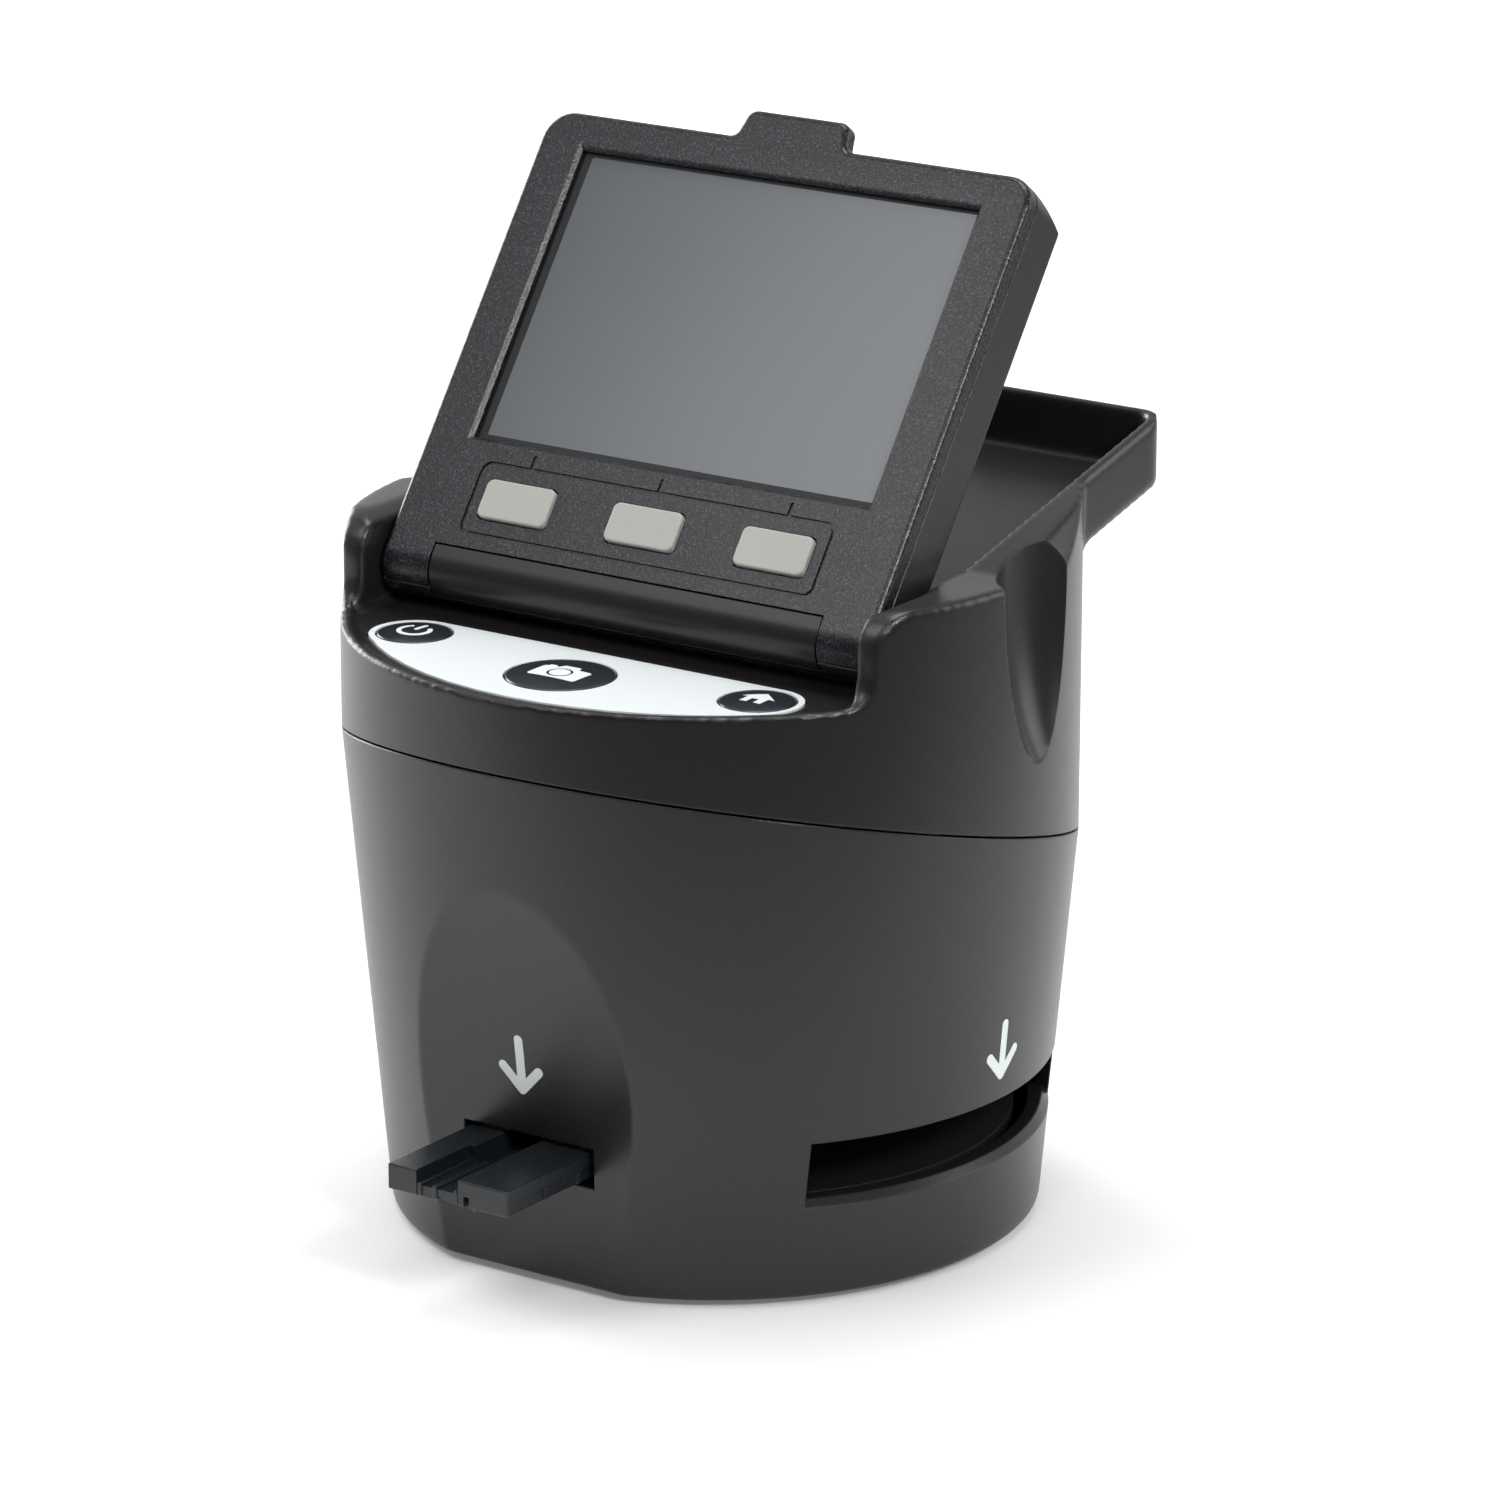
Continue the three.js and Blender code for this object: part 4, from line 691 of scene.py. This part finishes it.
def fluteCutter(side, grow=0.0):
    # bullet-shaped scoop that deepens upwards
    profile = [(cos(radians(a)), flute["top"] + (flute["length"] + grow) * sin(radians(a)))
        for a in range(-87, 1, 3)]
    mesh = lathe([(0, flute["top"] - flute["length"] - grow)] + profile + [(1, 200), (0, 200)], 128)
    bmesh.ops.scale(mesh, vec=(flute["depth"] + grow, flute["width"] + grow, 1), verts=mesh.verts[:])
    shiftMesh(mesh, (side * flute["x"], flute["y"], 0))
    return mesh


def crownCutter(side):
    inner, outer, beyond = side * shelfHalf, side * shell["radius"], side * (shell["radius"] + 4)
    return prism("y", slopeBack["front"], 150, (outer, slopeBack["foot"]), [
        (inner, slopeBack["top"]), (inner, 200), (beyond, 200), (beyond, slopeBack["foot"])])


def shelfSolid():
    tray = asObject(roundedBlock("z", 100, 200, -shelfHalf, shelfHalf, shelf["front"], shelf["back"],
        shelf["corner"]), "shelf")
    deck = crown["deck"] / cos(shelfTilt)
    keep(tray, prism("x", -80, 80, (-150, floorHeight(-150) - deck), [
        (150, floorHeight(150) - deck), (150, wallTop(150)), (-150, wallTop(-150))]))
    return takeMesh(tray)


def baySpace():
    # room over the sloping floor, between the ears
    corner = shelf["corner"] - shelf["wall"]
    room = asObject(roundedBlock("z", 95, 200, -bayHalf, bayHalf, crown["earFront"] - corner,
        shelf["back"] - shelf["wall"], corner), "room")
    knee = (crown["well"] - floorHeight(0)) / shelfSlope
    keep(room, block(-100, 100, crown["earFront"] - 2, 100, 0, 300),
        prism("x", -80, 80, (-150, crown["well"]), [
            (knee, crown["well"]), (150, floorHeight(150)), (150, 250), (-150, 250)]))
    return takeMesh(room)


def wellSpace():
    well = asObject(rod(shell["radius"] - crown["rimWall"], crown["well"], 200, steps=192), "well")
    keep(well, frontOf(crown["earFront"] - 0.5, 0, 300))
    return takeMesh(well)


def earBevel(side):
    # shallow chamfer along the ear's inner top edge, which fades out where the ramp begins
    slope = crown["chamferDrop"] / crown["chamferWidth"]
    low = (side * (bayHalf - 2), crown["earTop"] - crown["chamferDrop"] - 2 * slope)
    high = (side * (bayHalf + crown["chamferWidth"] + 2), crown["earTop"] + 2 * slope)
    start, fade, end = crown["earFront"] - 2, crown["fadeStart"], crown["fadeEnd"]
    mesh = prism("y", start, end, low, [high, (low[0], high[1] + 8)])
    bmesh.ops.bisect_plane(mesh, geom=mesh.verts[:] + mesh.edges[:] + mesh.faces[:], plane_co=(0, fade, 0),
        plane_no=(0, 1, 0))
    lift = wallTop(end) - crown["earTop"] + crown["chamferDrop"] + 0.3
    bmesh.ops.translate(mesh, vec=(0, 0, lift), verts=[v for v in mesh.verts if v.co.y > fade + 0.01])
    return mesh


panel = {"sideX": 33.6, "sideY": -35, "sideRadius": 6.1, "captureY": -41.1, "captureRadius": 8.8,
    "end": 7.4, "front": 55.3, "thick": 0.8, "sink": 0.9, "gap": 0.3, "rise": 0.28, "dome": 0.4, "lift": 0.3,
    "edge": 0.22}


def panelPrism(grow, low, high):
    end = panel["end"] + grow
    reach = panel["front"] - panel["end"]
    x, y = panel["sideX"], panel["sideY"]
    centreY = (x ** 2 + y ** 2 - reach ** 2) / (2 * (reach + y))
    angle = degrees(atan2(y - centreY, x))
    return prism("z", low, high, (-x, y + end), [
        (x, y + end), (x, y, -(90 - angle)), (0, centreY, -(180 + 2 * angle)), (-x, y, -(90 - angle))])


def buttonHoles(low, high, gap):
    holes = [rod(panel["captureRadius"] + gap, low, high, 0, panel["captureY"], 96)]
    for side in (-1, 1):
        holes.append(rod(panel["sideRadius"] + gap, low, high, side * panel["sideX"], panel["sideY"], 72))
    return holes


drumSkin = {"above": 0.1, "below": 0.5, "top": 112}


def trueDrum(target):
    # takes out the even mesh's small waves where the skin is meant to be the drum
    mesh = copyMesh(target)
    for vert in mesh.verts:
        reach = hypot(vert.co.x, vert.co.y)
        short = shell["radius"] - reach
        if -drumSkin["above"] < short < drumSkin["below"] and vert.co.z < drumSkin["top"]:
            share = max(0.0, short / drumSkin["below"])
            left = short * share * share * (3 - 2 * share)
            vert.co.x *= (shell["radius"] - left) / reach
            vert.co.y *= (shell["radius"] - left) / reach
    putBack(mesh, target)


def upperHousing():
    wall, back = shell["wall"], shell["back"]
    body = asObject(rod(shell["radius"], 58, 135, steps=256), "upperHousingShell")
    keep(body, sidePrism(), frontOf(back, 0, 300))
    for side in (-1, 1):
        cut(body, crownCutter(side), fluteCutter(side, -flute["crisp"]))
    join(body, shelfSolid())
    notch = block(-shelf["notchHalf"], shelf["notchHalf"], shelf["back"] - 2 * shelf["wall"], 100,
        wallTop(shelf["back"]) - shelf["notchDepth"], 200)
    cut(body, baySpace(), wellSpace(), notch, earBevel(-1), earBevel(1))
    soften(body, 0.6, 5)
    trueDrum(body)
    # the flutes are cut to size after the softening, which leaves their edges crisp
    cut(body, fluteCutter(-1), fluteCutter(1))
    plate = panelPrism(panel["gap"], crown["well"] - panel["sink"], 120)
    hollow = asObject(rod(shell["radius"] - wall, 40, crown["hollowTop"], steps=96), "hollow")
    keep(hollow, frontOf(back - wall, 0, 300))
    cut(hollow, fluteCutter(-1, wall), fluteCutter(1, wall))
    cut(body, plate, seamCutter(shell["gap"] / 2, False),
        *buttonHoles(90, 120, panel["gap"]), takeMesh(hollow))
    return settle(body, "base", "mouldedAbsCharcoal", ["upper_housing"], flats=False)


upperShell = upperHousing()
print("upper housing:", len(upperShell.data.polygons), "faces")


# control panel

def stroke(axis, low, high, start, end, width):
    # a line with round ends, drawn in the section's plane
    run = Vector(end) - Vector(start)
    half = run.length / 2 + width / 2
    mesh = roundedBlock("z", low, high, -half, half, -width / 2, width / 2, width * 0.499)
    middle = (Vector(start) + Vector(end)) / 2
    place = Matrix.Translation((middle.x, middle.y, 0)) @ Matrix.Rotation(atan2(run.y, run.x), 4, "Z")
    turnMesh(mesh, axisTurns[axis] @ place)
    faceOutwards(mesh)
    return mesh


def ringPart(low, high, x, y, radius, width, start, sweep):
    def corner(reach, angle):
        return (x + reach * cos(radians(angle)), y + reach * sin(radians(angle)))
    return prism("z", low, high, corner(radius + width / 2, start), [
        (x, y, sweep), corner(radius - width / 2, start + sweep), (x, y, -sweep)])


def panelPlate():
    low = crown["well"] - panel["sink"] + panel["lift"]
    body = asObject(panelPrism(0, low, low + panel["thick"]), "panelFilm")
    cut(body, *buttonHoles(90, 110, panel["gap"]))
    roundOff(body, panel["edge"], 3)
    settle(body, "base", "printedPanelFilm", ["panel_plate"])


buttonCap = {"edge": crown["well"] + panel["rise"], "round": 0.5, "stem": 1.8, "stemLow": 95.2, "flange": 1.1,
    "flangeLow": 96.0, "flangeTop": 97.0, "ink": 0.04, "inkLow": 98.5, "inkInset": 0.6}


def domeProfile(radius, lift=0.0):
    edge, bend = buttonCap["edge"], buttonCap["round"]
    rim = [(radius - bend + bend * cos(a), edge - bend * 0.55 + bend * 0.62 * sin(a) + lift)
        for a in (0, 0.35, 0.7, 1.05, 1.4)]
    inner = radius - bend
    return rim + [(inner * s, edge + panel["dome"] * (1 - (inner * s / radius) ** 2) + lift)
        for s in (0.92, 0.8, 0.65, 0.5, 0.33, 0.16, 0)]


def buttonSolid(radius, x, y):
    cap = buttonCap
    return lathe([(0, cap["stemLow"]), (cap["stem"], cap["stemLow"]), (cap["stem"], cap["flangeLow"]),
        (radius + cap["flange"], cap["flangeLow"]), (radius + cap["flange"], cap["flangeTop"]),
        (radius, cap["flangeTop"])] + domeProfile(radius), 96, x, y)


def icon(kind, x, y):
    low, high = 99, 102
    if kind == "power":
        return [ringPart(low, high, x, y, 2.55, 0.8, 128, 284),
            stroke("z", low, high, (x, y + 0.5), (x, y + 3.1), 0.8)]
    if kind == "camera":
        body = asObject(roundedBlock("z", low, high, x - 4.6, x + 4.6, y - 2.9, y + 2.4, 0.6), "icon")
        join(body, prism("z", low, high, (x - 2.3, y + 1.5), [
            (x + 2.3, y + 1.5), (x + 1.5, y + 3.6), (x - 1.5, y + 3.6)]),
            block(x - 3.9, x - 2.6, y + 1.5, y + 3.0, low, high))
        cut(body, ringPart(low - 1, high + 1, x, y - 0.1, 1.95, 0.42, 0, 359.9))
        return [takeMesh(body)]
    house = asObject(prism("z", low, high, (x - 1.9, y - 2.2), [
        (x + 1.9, y - 2.2), (x + 1.9, y + 0.3), (x + 3.0, y + 0.3), (x, y + 2.9), (x - 3.0, y + 0.3),
        (x - 1.9, y + 0.3)]), "icon")
    cut(house, block(x - 0.65, x + 0.65, y - 3, y - 0.5, low - 1, high + 1))
    return [takeMesh(house)]


def button(name, node, kind, radius, x, y):
    cap = asObject(buttonSolid(radius, x, y), name)
    settle(cap, node, "polishedAbsButton", [node])
    # the pictogram is a skin just over the cap's, cut to shape
    skin = [(0, buttonCap["inkLow"]), (radius - buttonCap["inkInset"], buttonCap["inkLow"])]
    ink = asObject(lathe(skin + domeProfile(radius, buttonCap["ink"])[4:], 96, x, y), name + "Icon")
    first, *others = icon(kind, x, y)
    shape = asObject(first, "shape")
    join(shape, *others)
    keep(ink, takeMesh(shape))
    cut(ink, buttonSolid(radius, x, y))
    settle(ink, node, "screenPrintInk")


panelPlate()
button("powerCap", "power_button", "power", panel["sideRadius"], -panel["sideX"], panel["sideY"])
button("captureCap", "capture_button", "camera", panel["captureRadius"], 0, panel["captureY"])
button("homeCap", "home_button", "house", panel["sideRadius"], panel["sideX"], panel["sideY"])
print("control panel and buttons")


# screen case, drawn upright about the hinge axis with its face towards -Y

case = {"face": -halfThick, "back": halfThick, "half": screenCase["half"], "top": 79.3, "corner": 5.2,
    "frontEnd": -2.9, "rearStart": -2.6, "wall": 1.8, "plate": -4.25, "edge": 0.9, "frontEdge": 1.05,
    "bore": 3.75, "setIn": 0.4, "slope": 0.494, "parting": -2.75}
tab = {"foot": 10.5, "top": 8, "height": 4.9, "corner": 2.2, "fillet": 1.5}
window = {"half": 38.85, "low": 20.95, "high": 72.85, "flare": 0.65, "topFlare": 1.2, "recess": 1.6}
keys = {"pitch": 25.19, "half": 6.75, "low": 7.3, "high": 14.1, "corner": 1.3, "rise": 0.8, "gap": 0.25,
    "flange": 0.9, "flangeFront": -3.95, "flangeBack": -3.15, "back": -2.65, "edge": 0.4}
keyPlaces = (-keys["pitch"], 0, keys["pitch"])
groove = {"half": 34.7, "low": 4.2, "high": 17.2, "corner": 2, "width": 0.65, "depth": 0.35, "tick": 19.3}
cover = {"half": 37.9, "top": 1.8, "thick": 0.75, "gap": 0.25, "sweep": 82, "edge": 0.22}
screenScrews = {"x": 43.7, "heights": (12, 66), "head": 1.7, "headGap": 0.3, "sink": 0.9, "bore": 1.1,
    "post": 1.9, "postEnd": 3.45, "boreStart": -2.5}
pinBore = {"radius": 2.1, "start": 44, "end": 50}


def caseOutline(low, high, inset=0.0):
    half, corner, top = case["half"] - inset, case["corner"] - inset, case["top"] - inset
    tabTop, foot, bend = case["top"] + tab["height"], tab["foot"], tab["fillet"]
    moves = [(half, 0), (half, top - corner), (half - corner, top - corner, 90)]
    if inset == 0:
        lean = tab["top"] + tab["corner"]
        moves += [(foot + bend, top), (foot + bend, top + bend, -84), (lean, tabTop - tab["corner"]),
            (tab["top"], tabTop - tab["corner"], 90), (-tab["top"], tabTop),
            (-tab["top"], tabTop - tab["corner"], 90),
            (-foot - bend + bend * cos(radians(6)), top + bend - bend * sin(radians(6))),
            (-foot - bend, top + bend, -84)]
    moves += [(corner - half, top), (corner - half, top - corner, 90), (-half, 0)]
    return prism("y", low, high, (-half, 0), moves)


def barrel(radius, half, edge=0.0):
    mesh = rodAlong("x", radius, -half, half, 0, 0, 96)
    if edge:
        bevelEdges(mesh, edge, 4, lambda e: abs(abs(e.verts[0].co.x) - half) < 0.01, 60)
    return mesh


def caseRoom():
    room = asObject(caseOutline(case["plate"], 60, case["wall"]), "room")
    join(room, barrel(case["bore"], case["half"] - case["wall"]))
    return takeMesh(room)


def coverSection(gap, reach, top, sweep, half):
    inner, outer = -case["face"] - cover["thick"] - gap, -case["face"] + reach
    end = radians(180 + sweep)
    return prism("x", -half, half, (-outer, top), [
        (-outer, 0), (0, 0, sweep), (inner * cos(end), inner * sin(end)), (0, 0, -sweep),
        (-inner, top)])


def coverRecess():
    gap = cover["gap"]
    return coverSection(gap, 2, cover["top"] + gap, cover["sweep"] + 2.6, cover["half"] + gap)


def keyOutline(x, grow, low, high):
    return roundedBlock("y", low, high, x - keys["half"] - grow, x + keys["half"] + grow, keys["low"] - grow,
        keys["high"] + grow, keys["corner"])


def windowCutter():
    front = case["face"] - 2
    mesh = block(-window["half"], window["half"], front, case["face"] + window["flare"],
        window["low"], window["high"])
    spread = window["flare"] + 2
    height = window["high"] - window["low"]
    centre = Vector((0, 0, (window["high"] + window["low"]) / 2))
    outer = [v for v in mesh.verts if v.co.y < front + 0.1]
    bmesh.ops.scale(mesh, vec=(1 + spread / window["half"], 1, 1 + 2 * spread / height),
        space=Matrix.Translation(-centre), verts=outer)
    lift = (window["topFlare"] - window["flare"]) * spread / window["flare"]
    bmesh.ops.translate(mesh, vec=(0, 0, lift), verts=[v for v in outer if v.co.z > centre.z])
    return mesh


def grooveCutters():
    front, back, width = case["face"] - 2, case["face"] + groove["depth"], groove["width"]
    ring = asObject(roundedBlock("y", front, back, -groove["half"], groove["half"], groove["low"],
        groove["high"], groove["corner"]), "ring")
    cut(ring, roundedBlock("y", front - 1, back + 1, width - groove["half"],
        groove["half"] - width, groove["low"] + width,
        groove["high"] - width, groove["corner"] - width))
    return [takeMesh(ring)] + [block(x - width / 2, x + width / 2, front, back, groove["high"] - width / 2,
        groove["tick"]) for x in keyPlaces]


def screwRods(radius, low, high):
    return [rodAlong("y", radius, low, high, side * screenScrews["x"], z)
        for side in (-1, 1) for z in screenScrews["heights"]]


def pinBores():
    return [rodAlong("x", pinBore["radius"], *sorted((side * pinBore["start"], side * pinBore["end"])), 0, 0)
        for side in (-1, 1)]


def screenBezel():
    mesh = caseOutline(case["face"], case["frontEnd"])
    bevelEdges(mesh, case["frontEdge"], 5, lambda e: all(v.co.y < case["face"] + 0.01 for v in e.verts)
        and max(v.co.z for v in e.verts) > 0.01, 60)
    body = asObject(mesh, "screenBezelFace")
    join(body, barrel(-case["face"], case["half"], case["frontEdge"]))
    keep(body, block(-60, 60, -20, case["frontEnd"], -20, 100))
    cut(body, caseRoom())
    join(body, *screwRods(screenScrews["post"], case["plate"] - 0.6, screenScrews["postEnd"]))
    glassRoom = block(-window["half"], window["half"], case["face"] + window["flare"] - 0.05, 0,
        window["low"], window["high"])
    cut(body, windowCutter(), glassRoom, coverRecess(), *grooveCutters(),
        *[keyOutline(x, keys["gap"], -20, -3) for x in keyPlaces],
        *screwRods(screenScrews["bore"], screenScrews["boreStart"], 20), *pinBores())
    settle(body, "screen", "sparkGrainAbsBezel", ["screen_bezel"], toScreen)


def rearSection(inset, half):
    top = case["top"] - case["setIn"] - inset
    start = case["rearStart"] if inset == 0 else -5
    back = case["back"] - inset
    return prism("x", -half, half, (start, -100), [
        (back, -100), (back, top - case["slope"] * (back - case["parting"])),
        (start, top - case["slope"] * (start - case["parting"]))])


def rearCover():
    body = asObject(caseOutline(-10, 20), "screenRearCase")
    join(body, barrel(case["back"], case["half"]))
    keep(body, rearSection(0, 60))
    roundOff(body, case["edge"], 4, lambda e: all(v.co.y > case["rearStart"] + 0.05 for v in e.verts), 30)
    room = asObject(caseRoom(), "room")
    keep(room, rearSection(case["wall"], 60))
    cut(body, takeMesh(room), coverRecess(), *screwRods(screenScrews["bore"], 0, 20),
        *screwRods(screenScrews["head"] + screenScrews["headGap"],
            case["back"] - screenScrews["sink"], 20),
        *pinBores())
    settle(body, "screen", "mouldedAbsCharcoal", ["screen_rear_cover"], toScreen)


def hingeStrip():
    mesh = coverSection(0, 0, cover["top"], cover["sweep"], cover["half"])
    bevelEdges(mesh, cover["edge"], 3)
    settle(asObject(mesh, "hingeStrip"), "screen", "fineGrainAbsStrip", ["hinge_cover"], toScreen)


def screenKey(name, node, x):
    mesh = keyOutline(x, 0, case["face"] - keys["rise"], keys["flangeBack"])
    bevelEdges(mesh, keys["edge"], 4, lambda e: all(v.co.y < case["face"] - 0.7 for v in e.verts), 60)
    cap = asObject(mesh, name)
    join(cap, keyOutline(x, keys["flange"], keys["flangeFront"], keys["flangeBack"]),
        rodAlong("y", 2, keys["flangeFront"], keys["back"], x, (keys["low"] + keys["high"]) / 2))
    settle(cap, node, "satinKeyCap", [node], toScreen)


# frames on the pane, left, right, low, high: the inner ring is print, the outer black one is painted shade
# where the window's wall meets the display
border = {"outside": (-40, 40, 20, 74.6), "ring": (-38.15, 38.8, 20.6, 72.7),
    "image": (-37.15, 38.7, 22.05, 72.3), "corner": 1.2, "imageCorner": 0.3,
    "level": case["face"] + window["recess"], "inkFront": 0.06, "inkBack": 0.01}


def paneBorder(name, outer, inner, corner, innerCorner, finish):
    level = border["level"]
    printed = asObject(roundedBlock("y", level - border["inkFront"], level - border["inkBack"],
        *border[outer], corner), name)
    cut(printed, roundedBlock("y", level - 1, level + 1, *border[inner], innerCorner))
    settle(printed, "screen", finish, (), toScreen)


screenBezel()
rearCover()
hingeStrip()
for side, x in zip(("Left", "Middle", "Right"), keyPlaces):
    screenKey("key" + side, "screen_key_" + side.lower(), x)
# painted shade: a matt black band at the foot of the window's wall, standing in for the shaded gap between
# wall and display
paneBorder("displayGapShade", "outside", "ring", 0.5, border["corner"], "mattBlackAbs")
paneBorder("displayRing", "ring", "image", border["corner"], border["imageCorner"], "borderInk")
print("screen case and keys")


# film tray

# channel: left, right; notch: left, width, depth; window: half width, half length; nubs and ridges: shares
# of the width; panel: length, rib between two, height, depth, how many
filmTray = {"half": 11.8, "top": 24.6, "low": 20.3, "front": -71.9, "back": 36, "edge": 0.3,
    "channel": (-6.1, 2.2), "depth": 2.5, "step": 14, "narrow": 1.1, "drop": 0.7,
    "notch": (3.2, 1.1, 1.8), "window": (3, 4.5), "windowTop": 24, "panel": (8, 0.9, 2.2, 0.4, 8),
    "ridges": (0.06, 0.42, 0.93), "ridge": 0.9, "lipBack": 0.35, "nubs": (0.415, 0.73), "nub": 1.3}


def trayBody():
    t = filmTray
    mesh = block(-t["half"], t["half"], t["front"], t["back"], t["low"], t["top"])
    bevelEdges(mesh, t["edge"], 3)
    body = asObject(mesh, "filmTrayBody")
    left, rightEnd = t["channel"]
    notch, notchWide, notchDeep = t["notch"]
    floor, stepY = t["top"] - t["depth"], t["front"] + t["step"]
    cut(body, block(left, rightEnd, t["front"] - 2, stepY, floor, 30),
        block(left + t["narrow"], rightEnd, stepY, t["back"] + 2, floor - t["drop"], 30),
        block(notch, notch + notchWide, t["front"] - 2, t["back"] + 2, 10, t["low"] + notchDeep),
        block(left, rightEnd, t["front"] - 2, t["front"] + t["lipBack"], 10, 30))
    for share in t["ridges"]:
        x = left + (rightEnd - left) * share
        rib = roundedBlock("y", t["front"] + 0.05, stepY, x - t["ridge"] / 2, x + t["ridge"] / 2,
            t["low"] + 0.1, floor + 0.55, 0.3)
        bevelEdges(rib, 0.2, 2, lambda e: all(v.co.y < t["front"] + 0.1 for v in e.verts))
        join(body, rib)
    for share in t["nubs"]:
        nub = rod(t["nub"] / 2, t["low"] - 0.45, t["low"] + 0.4, t["half"] * (2 * share - 1),
            t["front"] + 0.7, 24)
        bevelEdges(nub, 0.15, 2, lambda e: all(v.co.z < t["low"] for v in e.verts))
        join(body, nub)
    middle = (left + t["narrow"] + rightEnd) / 2
    halfWide, halfLong = t["window"]
    cut(body, block(middle - halfWide, middle + halfWide, -halfLong, halfLong, 10, t["windowTop"]))
    length, rib, height, depth, count = t["panel"]
    for i in range(count):
        front = t["front"] + rib * 2 + (length + rib) * i
        for side in (-1, 1):
            ends = sorted((side * (t["half"] - depth), side * (t["half"] + 2)))
            cut(body, block(*ends, front, front + length, 10, t["low"] + height))
    settle(body, "film_tray", "mouldedPolystyreneTray", ["film_tray"])


trayBody()
print("film tray")


# printed arrows

arrow = {"stroke": 1.65, "ink": 0.045, "head": 3.5, "rise": 3.6}


def printedArrow(name, axis, low, high, centre, tip, top, shift):
    # ink lies on the moulding: its outer skin moved out by the ink's thickness
    shape = asObject(stroke(axis, low, high, (centre, top), (centre, tip), arrow["stroke"]), "arrow")
    for end in (centre - arrow["head"], centre + arrow["head"]):
        join(shape, stroke(axis, low, high, (end, tip + arrow["rise"]), (centre, tip), arrow["stroke"]))
    ink = asObject(shellCopy(shift), name)
    keep(ink, takeMesh(shape))
    cut(ink, shellCopy((0, 0, 0)))
    settle(ink, "base", "screenPrintInk")


def shellCopy(shift):
    mesh = copyMesh(lowerShell)
    turnMesh(mesh, toFrame.inverted())
    shiftMesh(mesh, shift)
    return mesh


printedArrow("arrowOverTray", "y", -60, -40, -0.65, 33.1, 41.7, (0, -arrow["ink"], 0))
printedArrow("arrowOverOpening", "x", 50, 62, 0.7, 32.3, 41.0, (arrow["ink"], 0, 0))
print("arrows")


# finishes of the frame's own pieces

corners = ("front_left", "front_right", "back_left", "back_right")
frameFinishes = {
    "mouldedAbsCharcoal": ["lower_housing", "upper_housing", "screen_rear_cover"],
    "sparkGrainAbsBezel": ["screen_bezel"],
    "fineGrainAbsStrip": ["hinge_cover"],
    "printedPanelFilm": ["panel_plate"],
    "polishedAbsButton": ["power_button", "capture_button", "home_button"],
    "satinKeyCap": ["screen_key_left", "screen_key_middle", "screen_key_right"],
    "mouldedPolystyreneTray": ["film_tray"],
    "mattBlackAbs": ["base_plate", "film_stage", "film_guide", "lens_tower", "lens_barrel", "power_switch",
        "capture_switch", "home_switch"],
    "mouldedRubber": ["foot_" + corner for corner in corners],
    "zincPlatedSteel": ["hinge_pin_left", "hinge_pin_right", "screen_screw_1", "screen_screw_2",
        "screen_screw_3", "screen_screw_4"] + ["base_screw_" + corner for corner in corners],
    "springStrip": ["tray_stop_spring"],
    "lacqueredLaminate": ["control_board", "backlight_board", "sensor_board", "main_board",
        "screen_key_board"],
    "nickelPlatedSteel": ["usb_socket", "video_socket", "card_socket"],
    "naturalAcetal": ["hinge_bush_left", "hinge_bush_right"],
    "opalAcrylic": ["diffuser"],
    "aluminiumSheet": ["display_module"],
    "displayPane": ["screen_glass"],
    "coatedLensGlass": ["lens_element"],
}
for finish, nodes in frameFinishes.items():
    for node in nodes:
        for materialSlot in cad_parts[node].material_slots:
            materialSlot.link = "OBJECT"
            materialSlot.material = finishes[finish]
print("frame pieces finished")
